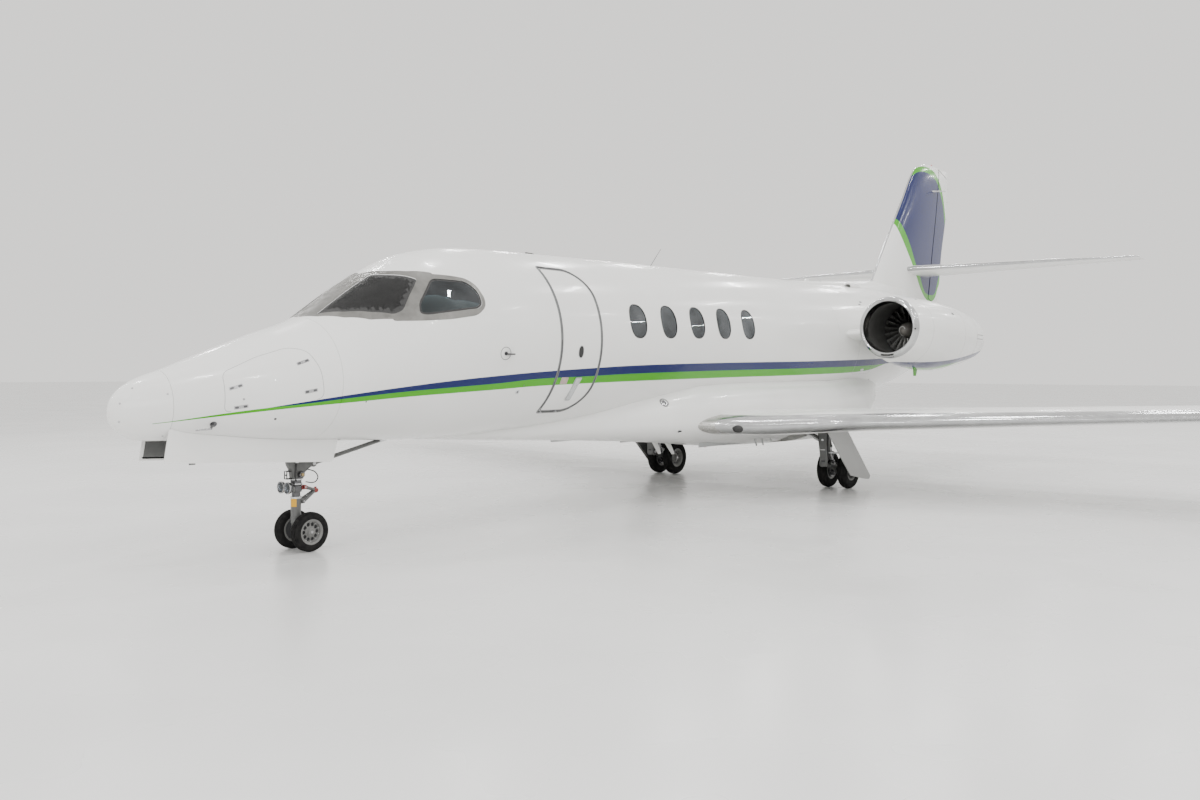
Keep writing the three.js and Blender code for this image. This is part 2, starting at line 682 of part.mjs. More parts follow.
function addTail() {
  const [foot, top] = RUDDER_HINGE;
  const noses = RUDDER_HINGE.map((end) => finHalf(end) * NOSE_FILL);
  const rudder = hinged(loft(FIN.map(finRing)), foot, top, noses, [1, 0, 0]);
  const bullet = placed(new THREE.SphereGeometry(1, 10, 6).scale(150, 1080, 150), 0, 16850, 3935);
  const behind = box(-400, 400, 17655, 19500, 3300, 4600);
  const whole = join(rudder.fixed, cut(solid(bullet), behind));
  const fin = cut(whole, dorsalSpine(SEAT_GAP), skinWithGap, tailplane(SEAT_GAP));
  piece('fin', fin, WHITE);
  piece('rudder', rudder.moving, BLUE);
  let stabiliser = tailplane(0);
  const elevators = {};
  for (const [side, name] of [[1, 'left'], [-1, 'right']]) {
    const ends = [ELEVATOR.inner, ELEVATOR.outer].map((x) => tailPoint(x, ELEVATOR.part));
    const line = ends.map(({ at: [x, y, z] }) => [side * x, y, z]);
    const split = hinged(stabiliser, line[0], line[1], ends.map((end) => end.half * NOSE_FILL), [0, 0, 1]);
    stabiliser = split.fixed;
    elevators[name] = split.moving;
  }
  const [, hingeStation] = tailPoint(ELEVATOR.inner, ELEVATOR.part).at;
  const { inner, notch } = ELEVATOR;
  const rudderSpace = box(-inner - notch, inner + notch, hingeStation - notch, 19500, 3500, 4500);
  piece('stabilizer', stabiliser.subtract(rudderSpace), WHITE);
  const between = box(-inner, inner, hingeStation + notch, 19500, 3500, 4500);
  piece('elevator_left', elevators.left.subtract(between), WHITE);
  piece('elevator_right', elevators.right.subtract(between), WHITE);
}

function tailPoint(x, part) {
  const [, lead, trail, z, thickness] = rowAt(STABILISER, x);
  const chord = trail - lead;
  return { at: [x, lead + part * chord, z], half: halfThickness(thickness, part) * chord };
}

// Engine nacelle. Columns: station, side radius, top radius, bottom radius
const COWL = [
  [INTAKE_START, 440, 440, 440],
  [11465, 475, 475, 477],
  [11530, 497, 497, 502],
  [11700, 522, 520, 540],
  [12100, 560, 545, 610],
  [12700, 585, 550, 655],
  [13300, 578, 535, 645],
  [13900, 540, 505, 575],
  [REVERSER_START, 508, 480, 535],
  [14500, 470, 448, 488],
  [14850, 405, 395, 412],
  [NOZZLE_END, 330, 325, 330],
];
// Duct from intake to nozzle. Columns: station, radius
const DUCT = [
  [INTAKE_START - 1, 440],
  [11465, 412],
  [11620, 400],
  [11900, 412],
  [12250, DUCT_RADIUS],
  [REVERSER_START, DUCT_RADIUS],
  [14700, 375],
  [NOZZLE_END + 1, 305],
];
const COWL_POINTS = 20;
const engineZ = (station) => ENGINE_Z + ENGINE_SLOPE * (station - INTAKE_START);

function cowlRing([station, side, top, bottom], grow = 0) {
  return Array.from({ length: COWL_POINTS }, (_, i) => {
    const angle = (2 * Math.PI * i) / COWL_POINTS;
    const reach = Math.sin(angle) > 0 ? top + grow : bottom + grow;
    return [ENGINE_X + (side + grow) * Math.cos(angle), station, engineZ(station) + reach * Math.sin(angle)];
  });
}

const roundRow = ([station, radius]) => [station, radius, radius, radius];
const cowlBody = (grow = 0) => loft(COWL.map((row) => cowlRing(row, grow)));
const ductBody = (shrink = 0) => loft(DUCT.map((row) => cowlRing(roundRow(row), -shrink)));
const slice = (from, to) => box(ENGINE_X - 900, ENGINE_X + 900, from, to, 1500, 3400);

// Each reverser bucket turns on a pin at either side, held by a beam behind the nacelle
const PIVOT = {
  station: 14800, offset: 18, pin: 6, hole: 6.6, lug: 15, lugInner: 330, lugOuter: 343,
  beam: 32, behind: 8, gap: 8, opens: 43, margin: 3,
};
const PIVOT_Z = engineZ(PIVOT.station);

function pivotPins(level, radius, from, to) {
  const z = PIVOT_Z + level * PIVOT.offset;
  const point = (x) => [ENGINE_X + x, PIVOT.station, z];
  const pin = (side) => rod(point(side * from), point(side * to), radius, radius, 16);
  return join(pin(1), pin(-1));
}

function sideBeams(shell) {
  const end = PIVOT.station + PIVOT.behind;
  const band = box(0, 3000, REVERSER_START - 50, end, PIVOT_Z - PIVOT.beam, PIVOT_Z + PIVOT.beam);
  const pins = [1, -1].map((level) => pivotPins(level, PIVOT.pin, 326, 385));
  return join(shell.intersect(band), ...pins);
}

function bucket(shell, level) {
  const slope = Math.tan(THREE.MathUtils.degToRad(PIVOT.opens + PIVOT.margin));
  const edge = PIVOT.beam + PIVOT.gap;
  const far = 700;
  const outline = [
    [REVERSER_START + RUNNING_GAP, PIVOT_Z + level * edge],
    [PIVOT.station + (edge - PIVOT.offset) / slope, PIVOT_Z + level * edge],
    [PIVOT.station + far / slope, PIVOT_Z + level * (PIVOT.offset + far)],
    [REVERSER_START + RUNNING_GAP, PIVOT_Z + level * (PIVOT.offset + far)],
  ];
  const half = shell.intersect(prism(level > 0 ? outline : outline.reverse(), 'x', 0, 3000));
  const foot = PIVOT_Z + level * PIVOT.offset;
  const plate = (side) => {
    const [near, out] = [ENGINE_X + side * PIVOT.lugInner, ENGINE_X + side * PIVOT.lugOuter];
    const [low, high] = [foot, PIVOT_Z + level * (edge + 105)].sort((a, b) => a - b);
    const round = rod([near, PIVOT.station, foot], [out, PIVOT.station, foot], PIVOT.lug);
    const [inner, outer] = [Math.min(near, out), Math.max(near, out)];
    const arm = box(inner, outer, PIVOT.station - 12, PIVOT.station + 12, low, high);
    return join(round, arm);
  };
  return cut(join(half, plate(1), plate(-1)), pivotPins(level, PIVOT.hole, 320, 350));
}

const FAN = { blades: 22, tip: 418, root: 125, chord: 120, thickness: 9 };
const SHAFT = { radius: 60, bore: 60.8, front: 12400, end: 12515 };

function fan() {
  const length = SHAFT.end - FAN_STATION + 255;
  const nose = [[0, 0], [70, 25], [115, 90], [135, 190], [135, 330]];
  const hub = [...nose, [SHAFT.radius, 331], [SHAFT.radius, length], [0, length]];
  let rotor = solid(new THREE.LatheGeometry(hub.map(([r, y]) => new THREE.Vector2(r, y)), 12));
  for (let i = 0; i < FAN.blades; i += 1) {
    const blade = new THREE.BoxGeometry(FAN.tip - FAN.root, FAN.chord, FAN.thickness);
    const position = blade.attributes.position;
    for (let k = 0; k < position.count; k += 1) {
      const [x, y, z] = [position.getX(k), position.getY(k), position.getZ(k)];
      const twist = 0.55 + (0.45 * (x + 150)) / 300;
      const [c, s] = [Math.cos(twist), Math.sin(twist)];
      position.setXYZ(k, x, y * c - z * s, y * s + z * c);
    }
    placed(blade, (FAN.tip + FAN.root) / 2, 255, 0);
    blade.rotateY((2 * Math.PI * i) / FAN.blades);
    rotor = rotor.add(solid(blade));
  }
  return rotor.translate([ENGINE_X, FAN_STATION - 255, engineZ(FAN_STATION)]);
}

// The engine fills the duct behind the fan. Columns: station, radius
const CORE = [
  [12460, DUCT_RADIUS - SEAT_GAP],
  [13050, DUCT_RADIUS - SEAT_GAP],
  [13350, 330],
  [14100, 320],
  [14150, 230],
  [14500, 150],
  [14770, 20],
];

function core() {
  const { front, end } = SHAFT;
  const z = engineZ(FAN_STATION);
  const bore = rod([ENGINE_X, front, z], [ENGINE_X, end + RUNNING_GAP, z], SHAFT.bore, SHAFT.bore, 24);
  return loft(CORE.map((row) => cowlRing(roundRow(row)))).subtract(bore);
}

// Pylon. Columns: x, leading station, trailing station, thickness
const PYLON = [[880, 11480, 14600, 0.075], [1400, 11640, 13950, 0.085]];
const PYLON_Z = 2400;

function addEngines() {
  const hollowCowl = cut(cowlBody(), ductBody());
  const mast = box(ENGINE_X - 12, ENGINE_X + 12, 12560, 12680, 1700, 1860);
  const front = hollowCowl.intersect(slice(0, REVERSER_START));
  bothSides('nacelle', join(front, mast, sideBeams(hollowCowl)), WHITE);
  bothSides('reverser_upper', bucket(hollowCowl, 1), WHITE);
  bothSides('reverser_lower', bucket(hollowCowl, -1), WHITE);
  bothSides('fan', fan(), DARK_METAL);
  bothSides('engine', core(), DARK_METAL);
  const ring = ([x, lead, trail, thickness]) => aerofoil(thickness, 0).map(([along, up]) => [
    x, lead + along * (trail - lead), PYLON_Z + up * (trail - lead)]);
  bothSides('pylon', cut(loft(PYLON.map(ring)), skinWithGap, cowlBody(SEAT_GAP)), WHITE);
}

// Wheels. A profile goes from the axle's end over the rim and back to the middle: (radius, x)
function lathed(profile, sides, { station, z }, x = 0) {
  const points = profile.map(([r, along]) => new THREE.Vector2(r, along));
  const geometry = new THREE.LatheGeometry(points, sides, Math.PI / sides);
  geometry.rotateZ(-Math.PI / 2);
  return solid(geometry.translate(x, station, z));
}

// A wheel stands on a flat of its tyre, which touches the real round tread
const WHEEL_SIDES = 20;
const AXLE_RADIUS = { nose: 24, main: 34 };
const AXLE_PLAY = 0.5;

function tyre({ tyre: round, width, rim, spread, station, z }, side, x) {
  const radius = round / Math.cos(Math.PI / WHEEL_SIDES);
  const half = width / 2;
  const bead = rim + SEAT_GAP;
  const profile = [
    [bead, -half * 0.75], [(rim + radius) / 2, -half], [radius - 26, -half * 0.93],
    [radius - 5, -half * 0.62], [radius, -half * 0.25],
  ];
  const back = profile.map(([r, along]) => [r, -along]).reverse();
  return lathed([...profile, ...back, profile[0]], WHEEL_SIDES, { station, z }, x + side * spread);
}

function hub({ width, rim, spread, station, z }, x, axle) {
  const half = width * 0.36;
  const outer = [
    [0, spread + half - 4], [46, spread + half - 4], [52, spread + 12], [rim - 14, spread + 12],
    [rim, spread + half], [rim, spread - half], [axle, spread - 12],
  ];
  const inner = outer.map(([r, along]) => [r, -along]).reverse();
  return lathed([...outer, ...inner].reverse(), WHEEL_SIDES, { station, z }, x);
}

function addWheels() {
  piece('nose_hub', hub(NOSE_AXLE, 0, AXLE_RADIUS.nose), GEAR_GREY);
  piece('nose_tyre_left', tyre(NOSE_AXLE, 1, 0), RUBBER);
  piece('nose_tyre_right', tyre(NOSE_AXLE, -1, 0), RUBBER);
  bothSides('main_hub', hub(MAIN_AXLE, MAIN_GEAR_X, AXLE_RADIUS.main), GEAR_GREY);
  bothSides('main_tyre_outer', tyre(MAIN_AXLE, 1, MAIN_GEAR_X), RUBBER);
  bothSides('main_tyre_inner', tyre(MAIN_AXLE, -1, MAIN_GEAR_X), RUBBER);
}

// Nose leg: a fixed outer tube with its trunnion and drag brace, and the part that steers
const NOSE_LEG_Y = 1785;
const STEER_TOP = 640;

// Two lamps face forwards from the steering collar
const NOSE_LAMP = { x: 58, front: 1648, back: 1700, z: 622, radius: 60 };
// Drag brace, from the leg back to the belly, as (station, z)
const NOSE_BRACE = [[1825, 803], [2900, 1052]];
// Torque links, from the collar through their joint to the axle block, as (station, z)
const TORQUE_LINKS = [[1862, 617], [1998, 572], [1846, 478]];

function noseLamps() {
  const { x, front, back, z, radius } = NOSE_LAMP;
  const lamp = (side) => rod([side * x, front, z], [side * x, back, z], radius, radius, 14);
  return join(lamp(1), lamp(-1), box(-75, 75, back - 5, back + 22, z - 37, z + 8));
}

function addNoseGear() {
  const y = NOSE_LEG_Y;
  const leg = join(
    rod([0, y, STEER_TOP + SEAT_GAP], [0, y, 1120], 58),
    rod([-190, y, 1120], [190, y, 1120], 50),
    box(-60, 60, y - 60, y + 60, 1100, NOSE_BAY.roof - SEAT_GAP),
    cut(rod([0, ...NOSE_BRACE[0]], [0, ...NOSE_BRACE[1]], 24), skinWithGap),
    rod([0, y, STEER_TOP + SEAT_GAP], [0, y, STEER_TOP + 70], 78),
  );
  piece('nose_leg', leg, GEAR_GREY);
  const { station, z } = NOSE_AXLE;
  const [upper, joint, lower] = TORQUE_LINKS;
  const block = join(
    rod([0, y, z + 20], [0, y, STEER_TOP], 40),
    rod([0, y, STEER_TOP - 70], [0, y, STEER_TOP], 70),
    rod([-72, station, z], [72, station, z], 42),
    box(-34, 34, station - 58, station + 52, z - 45, z + 80),
    noseLamps(),
    rod([0, ...upper], [0, ...joint], 20),
    rod([0, ...joint], [0, ...lower], 20),
    box(-20, 20, y, lower[0], lower[1] - 20, lower[1] + 20),
  );
  const bore = AXLE_RADIUS.nose + AXLE_PLAY;
  piece('nose_fork', block.subtract(rod([-200, station, z], [200, station, z], bore, bore, 24)), GEAR_GREY);
  const outline = [
    [410, 1250], [365, 958], [930, 929], [2020, 863], [2045, 880], [2095, 1060], [2095, 1250],
  ];
  const door = prism(outline, 'x', NOSE_BAY.x + 6, NOSE_BAY.x + 22);
  bothSides('nose_gear_door', cut(door, skinWithGap), WHITE);
}

// Main leg with its side brace, and the trailing link with the shock strut
const LINK_PIVOT = { station: 9700, z: 400 };

function mainPost(grow) {
  const x = MAIN_GEAR_X;
  const { station, z } = LINK_PIVOT;
  return join(
    rod([x, 9652, LEG_BAY.roof - 20], [x, station, z], 62 + grow, 52 + grow),
    rod([x - 64, station, z], [x + 64, station, z], 60 + grow),
  );
}

function addMainGear() {
  const x = MAIN_GEAR_X;
  const roof = LEG_BAY.roof - SEAT_GAP;
  const { station, z } = MAIN_AXLE;
  const leg = join(
    mainPost(0),
    box(x - 100, x + 100, 9560, 9740, 930, roof),
    rod([x, 9665, 720], [LEG_BAY.inner + 80, 9650, 960], 26),
    box(LEG_BAY.inner + 10, LEG_BAY.inner + 120, 9600, 9700, 930, roof),
  );
  bothSides('main_leg', leg, GEAR_GREY);
  const link = join(
    rod([x, LINK_PIVOT.station + 62, LINK_PIVOT.z], [x, station, z + 6], 46, 44),
    rod([x - 62, station, z], [x + 62, station, z], 58),
    rod([x, station - 150, z + 60], [x, 9790, 800], 34),
    box(x - 40, x + 40, station - 50, station + 50, z - 66, z + 20),
  );
  const bore = AXLE_RADIUS.main + AXLE_PLAY;
  const hole = rod([x - 200, station, z], [x + 200, station, z], bore, bore, 24);
  bothSides('trailing_link', cut(link, mainPost(SEAT_GAP), hole), GEAR_GREY);
  const outline = [[9230, 885], [9860, 885], [10640, 130], [10420, 110], [9960, 190]];
  const door = prism(outline, 'x', x + 270, x + 288);
  const stay = rod([x + 40, 9680, 560], [x + 275, 9760, 560], 16);
  bothSides('main_gear_door', cut(join(door, stay), mainPost(SEAT_GAP)), WHITE);
}

addFuselage();
addBelly();
addWindows();
addCabin();
addDoor();
addWings();
addTail();
addEngines();
addWheels();
addNoseGear();
addMainGear();

const aircraft = new THREE.Group();
aircraft.add(...pieces);
aircraft.position.y = -LENGTH / 2;

const group = new THREE.Group();
group.add(aircraft);

export default group;
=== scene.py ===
"""Visual model of a twin-engined business jet, parked on its landing gear.

Lengths are metres. A station is the distance behind the tip of the nose, x is towards port and
z is up. Shapes are written with stations and shifted into the frame's y as they become meshes.
"""

import json
import math
from bisect import bisect_right

import bmesh
import bpy
from mathutils import Matrix, Vector

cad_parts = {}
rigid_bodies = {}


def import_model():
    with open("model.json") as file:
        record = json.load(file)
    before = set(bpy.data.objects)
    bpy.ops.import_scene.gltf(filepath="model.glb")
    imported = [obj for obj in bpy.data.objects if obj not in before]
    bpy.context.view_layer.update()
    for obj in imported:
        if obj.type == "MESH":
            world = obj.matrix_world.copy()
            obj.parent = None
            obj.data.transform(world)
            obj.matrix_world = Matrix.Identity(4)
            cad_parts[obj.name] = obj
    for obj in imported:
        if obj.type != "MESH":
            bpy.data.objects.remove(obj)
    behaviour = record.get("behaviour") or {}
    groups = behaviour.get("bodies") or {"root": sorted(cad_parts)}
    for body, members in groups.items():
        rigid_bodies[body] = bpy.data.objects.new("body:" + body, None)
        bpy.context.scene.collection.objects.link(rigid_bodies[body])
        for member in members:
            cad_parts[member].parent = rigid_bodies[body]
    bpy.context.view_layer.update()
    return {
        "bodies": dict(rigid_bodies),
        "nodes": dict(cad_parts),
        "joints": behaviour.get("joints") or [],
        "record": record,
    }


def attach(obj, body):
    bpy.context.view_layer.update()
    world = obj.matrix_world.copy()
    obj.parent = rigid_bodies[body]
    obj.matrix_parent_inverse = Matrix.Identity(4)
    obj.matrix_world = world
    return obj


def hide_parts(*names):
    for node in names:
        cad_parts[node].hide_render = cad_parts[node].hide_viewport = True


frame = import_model()

HALF_LENGTH = 9.485
SIDES = ((1, "left"), (-1, "right"))
GAP = 0.006


# Curves and tables


def spread(start, end, count):
    return [start + (end - start) * i / count for i in range(count + 1)]


class Table:
    """Rows of numbers by their first column, joined by smooth curves that don't overshoot."""

    def __init__(self, rows):
        self.rows = rows
        self.keys = [row[0] for row in rows]
        self.slopes = list(zip(*[self._slopes(k) for k in range(1, len(rows[0]))]))

    def _slopes(self, column):
        gaps = [b - a for a, b in zip(self.keys, self.keys[1:])]
        rises = [(b[column] - a[column]) / gap for a, b, gap in zip(self.rows, self.rows[1:], gaps)]
        slopes = [rises[0]]
        for before, after in zip(rises, rises[1:]):
            level = before * after <= 0
            slopes.append(0.0 if level else 2 * before * after / (before + after))
        return [*slopes, rises[-1]]

    def at(self, key):
        i = min(max(bisect_right(self.keys, key) - 1, 0), len(self.rows) - 2)
        gap = self.keys[i + 1] - self.keys[i]
        t = min(max((key - self.keys[i]) / gap, 0.0), 1.0)
        ends = zip(self.rows[i][1:], self.rows[i + 1][1:], self.slopes[i], self.slopes[i + 1])
        return [
            a * (1 + 2 * t) * (1 - t) ** 2
            + b * t * t * (3 - 2 * t)
            + gap * t * (1 - t) * (p * (1 - t) - q * t)
            for a, b, p, q in ends
        ]


def rounded(outline, radius, points=6):
    """The outline with each corner turned into a smooth arc."""
    result = []
    for i, corner in enumerate(outline):
        here = Vector(corner)
        before = Vector(outline[i - 1]) - here
        after = Vector(outline[(i + 1) % len(outline)]) - here
        reach = min(radius, 0.48 * before.length, 0.48 * after.length)
        start = here + before.normalized() * reach
        end = here + after.normalized() * reach
        for t in spread(0, 1, points):
            result.append(tuple(start * (1 - t) ** 2 + here * 2 * t * (1 - t) + end * t * t))
    return result


def offset_outline(outline, distance):
    """The outline moved outwards by a distance, or inwards where it is negative."""
    area = sum(a[0] * b[1] - b[0] * a[1] for a, b in zip(outline, outline[1:] + outline[:1]))
    turn = 1 if area > 0 else -1
    result = []
    for i, corner in enumerate(outline):
        here = Vector(corner)
        before = (here - Vector(outline[i - 1])).normalized()
        after = (Vector(outline[(i + 1) % len(outline)]) - here).normalized()
        along = (before + after).normalized()
        spread_out = max(along.dot(before), 0.3)
        normal = Vector((along.y, -along.x)) * turn
        result.append(tuple(here + normal * distance / spread_out))
    return result


def superellipse(centre, half_width, half_height, power, count):
    result = []
    for i in range(count):
        angle = math.tau * (i + 0.5) / count
        c, s = math.cos(angle), math.sin(angle)
        u = math.copysign(abs(c) ** (2 / power), c) * half_width
        v = math.copysign(abs(s) ** (2 / power), s) * half_height
        result.append((centre[0] + u, centre[1] + v))
    return result


# Meshes


def solid(name, points, faces, materials=(), indices=None):
    mesh = bpy.data.meshes.new(name)
    mesh.from_pydata([(x, y - HALF_LENGTH, z) for x, y, z in points], [], faces)
    for material in materials:
        mesh.materials.append(material)
    if indices:
        mesh.polygons.foreach_set("material_index", indices)
    work = bmesh.new()
    work.from_mesh(mesh)
    bmesh.ops.remove_doubles(work, verts=work.verts, dist=1e-6)
    bmesh.ops.dissolve_degenerate(work, edges=work.edges, dist=1e-6)
    bmesh.ops.recalc_face_normals(work, faces=work.faces)
    work.to_mesh(mesh)
    work.free()
    made = bpy.data.objects.new(name, mesh)
    bpy.context.scene.collection.objects.link(made)
    return made


def loft(name, rings, materials=(), painted=None, caps=True):
    """A skin through rings of equal length. painted(ring, place) gives a face's material index."""
    count = len(rings[0])
    points = [point for ring in rings for point in ring]
    faces, indices = [], []
    for k in range(len(rings) - 1):
        for i in range(count):
            j = (i + 1) % count
            faces.append((k * count + i, k * count + j, (k + 1) * count + j, (k + 1) * count + i))
            indices.append(painted(k, i) if painted else 0)
    if caps:
        last = (len(rings) - 1) * count
        faces.append(tuple(range(count)))
        faces.append(tuple(last + i for i in range(count)))
        indices += [painted(0, 0), painted(len(rings) - 2, 0)] if painted else [0, 0]
    return solid(name, points, faces, materials, indices)


def prism(name, outline, axis, start, end, materials=(), index=0):
    """An outline of (y, z), (x, z) or (x, y) pushed along x, y or z."""
    place = {
        "x": lambda u, v, w: (w, u, v),
        "y": lambda u, v, w: (u, w, v),
        "z": lambda u, v, w: (u, v, w),
    }[axis]
    rings = [[place(u, v, w) for u, v in outline] for w in (start, end)]
    return loft(name, rings, materials, (lambda k, i: index) if index else None)


def frame_along(direction, hint=(0, 0, 1)):
    """Axes with the third along a direction."""
    third = Vector(direction).normalized()
    hint = Vector(hint)
    if abs(third.dot(hint)) > 0.95:
        hint = Vector((1, 0, 0))
    first = hint.cross(third).normalized()
    return first, third.cross(first), third


def turns(count):
    return [math.tau * i / count for i in range(count)]


def lathe(name, profile, start, direction, material, sides=48):
    """A profile of (radius, distance along) turned round a line. One that closes is a ring."""
    first, second, third = frame_along(direction)
    origin = Vector(start)
    rings = [
        [origin + third * along + (first * math.cos(a) + second * math.sin(a)) * radius for a in turns(sides)]
        for radius, along in profile
    ]
    return loft(name, rings, [material], caps=profile[0] != profile[-1])


def rod(name, start, end, radius, material, end_radius=None, sides=24):
    """A round bar with softened ends."""
    end_radius = radius if end_radius is None else end_radius
    length = (Vector(end) - Vector(start)).length
    soft = min(radius, end_radius, length) * 0.12
    profile = [
        (radius - soft, 0), (radius, soft), (end_radius, length - soft), (end_radius - soft, length),
    ]
    return lathe(name, profile, start, Vector(end) - Vector(start), material, sides)


def crossbar(name, centre, half, radius, material):
    """A round bar across the aircraft, with its middle at a point."""
    x, y, z = centre
    return rod(name, (x - half, y, z), (x + half, y, z), radius, material)


def smooth_path(points, parts=8):
    """A rounded route through points."""
    points = [Vector(p) for p in points]
    padded = [2 * points[0] - points[1], *points, 2 * points[-1] - points[-2]]
    path = []
    for a, b, c, d in zip(padded, padded[1:], padded[2:], padded[3:]):
        for t in spread(0, 1, parts)[:-1]:
            square, cube = 2 * a - 5 * b + 4 * c - d, 3 * b - a - 3 * c + d
            path.append(0.5 * (2 * b + (c - a) * t + square * t * t + cube * t ** 3))
    return [*path, points[-1]]


def tube(name, points, radius, material, sides=10, smooth=True):
    path = smooth_path(points) if smooth else [Vector(p) for p in points]
    rings = []
    first = None
    for i, point in enumerate(path):
        along = (path[min(i + 1, len(path) - 1)] - path[max(i - 1, 0)]).normalized()
        if first is None:
            first = frame_along(along)[0]
        first = (first - along * first.dot(along)).normalized()
        second = along.cross(first)
        rings.append([point + (first * math.cos(a) + second * math.sin(a)) * radius for a in turns(sides)])
    return loft(name, rings, [material])


BOX_FACES = [(0, 1, 3, 2), (4, 6, 7, 5), (0, 4, 5, 1), (2, 3, 7, 6), (0, 2, 6, 4), (1, 5, 7, 3)]


def block(name, low, high, material, bevel=0.004):
    """A box with softened edges."""
    corners = [(x, y, z) for x in (low[0], high[0]) for y in (low[1], high[1]) for z in (low[2], high[2])]
    made = solid(name, corners, BOX_FACES, [material])
    if bevel:
        work = bmesh.new()
        work.from_mesh(made.data)
        bmesh.ops.bevel(work, geom=work.edges, offset=bevel, segments=2, affect="EDGES", profile=0.5)
        work.to_mesh(made.data)
        work.free()
    return made


def mirrored_block(name, xs, ys, zs, material, bevel=0.004):
    """A box between two places in x that can be in either order."""
    return block(name, (min(xs), ys[0], zs[0]), (max(xs), ys[1], zs[1]), material, bevel)


def evaluated(made, modifier):
    """The object's mesh with its one modifier applied."""
    graph = bpy.context.evaluated_depsgraph_get()
    mesh = bpy.data.meshes.new_from_object(made.evaluated_get(graph))
    made.modifiers.remove(modifier)
    old, made.data = made.data, mesh
    mesh.name = made.name
    bpy.data.meshes.remove(old)


def discard(made):
    mesh = made.data
    bpy.data.objects.remove(made)
    bpy.data.meshes.remove(mesh)


def combine(target, tools, how, keep=False):
    for tool in tools:
        modifier = target.modifiers.new("shape", "BOOLEAN")
        modifier.operation = how
        modifier.solver = "MANIFOLD"
        modifier.object = tool
        evaluated(target, modifier)
        if not keep:
            discard(tool)
    return target


def cut(target, *tools, keep=False):
    return combine(target, tools, "DIFFERENCE", keep)


def within(target, *tools):
    return combine(target, tools, "INTERSECT")


def copied(source, name, mirror=False):
    """A copy of a mesh object, or its mirror image across the middle of the aircraft."""
    mesh = source.data.copy()
    if mirror:
        mesh.transform(Matrix.Scale(-1, 4, (1, 0, 0)))
        mesh.flip_normals()
    made = bpy.data.objects.new(name, mesh)
    bpy.context.scene.collection.objects.link(made)
    return made


def merged(name, parts):
    """One object from several, keeping each part's material."""
    materials = []
    work = bmesh.new()
    for part in parts:
        first = len(work.faces)
        work.from_mesh(part.data)
        work.faces.ensure_lookup_table()
        slots = []
        for material in part.data.materials:
            if material not in materials:
                materials.append(material)
            slots.append(materials.index(material))
        for face in work.faces[first:]:
            face.material_index = slots[min(face.material_index, len(slots) - 1)]
        discard(part)
    mesh = bpy.data.meshes.new(name)
    work.to_mesh(mesh)
    work.free()
    for material in materials:
        mesh.materials.append(material)
    made = bpy.data.objects.new(name, mesh)
    bpy.context.scene.collection.objects.link(made)
    return made


def piece(made, body="airframe", stands_for=(), crease=32):
    """Finishes a piece: smooth shading up to an angle, and the body that it moves with."""
    made.data.shade_smooth()
    made.data.set_sharp_from_angle(angle=math.radians(crease))
    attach(made, body)
    if stands_for:
        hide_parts(*stands_for)
    return made


def both(build):
    """Builds something for the port side and then for the starboard side."""
    for side, tag in SIDES:
        build(side, tag)


def twins(made, name, node, body=None):
    """A port piece and its mirror image, with the nodes that they stand for."""
    made.name = f"{name}_left"
    twin = copied(made, f"{name}_right", mirror=True)
    for tag, each in (("left", made), ("right", twin)):
        moves = f"{body}_{tag}" if body else "airframe"
        piece(each, moves, stands_for=[f"{node}_{tag}"])


# Materials


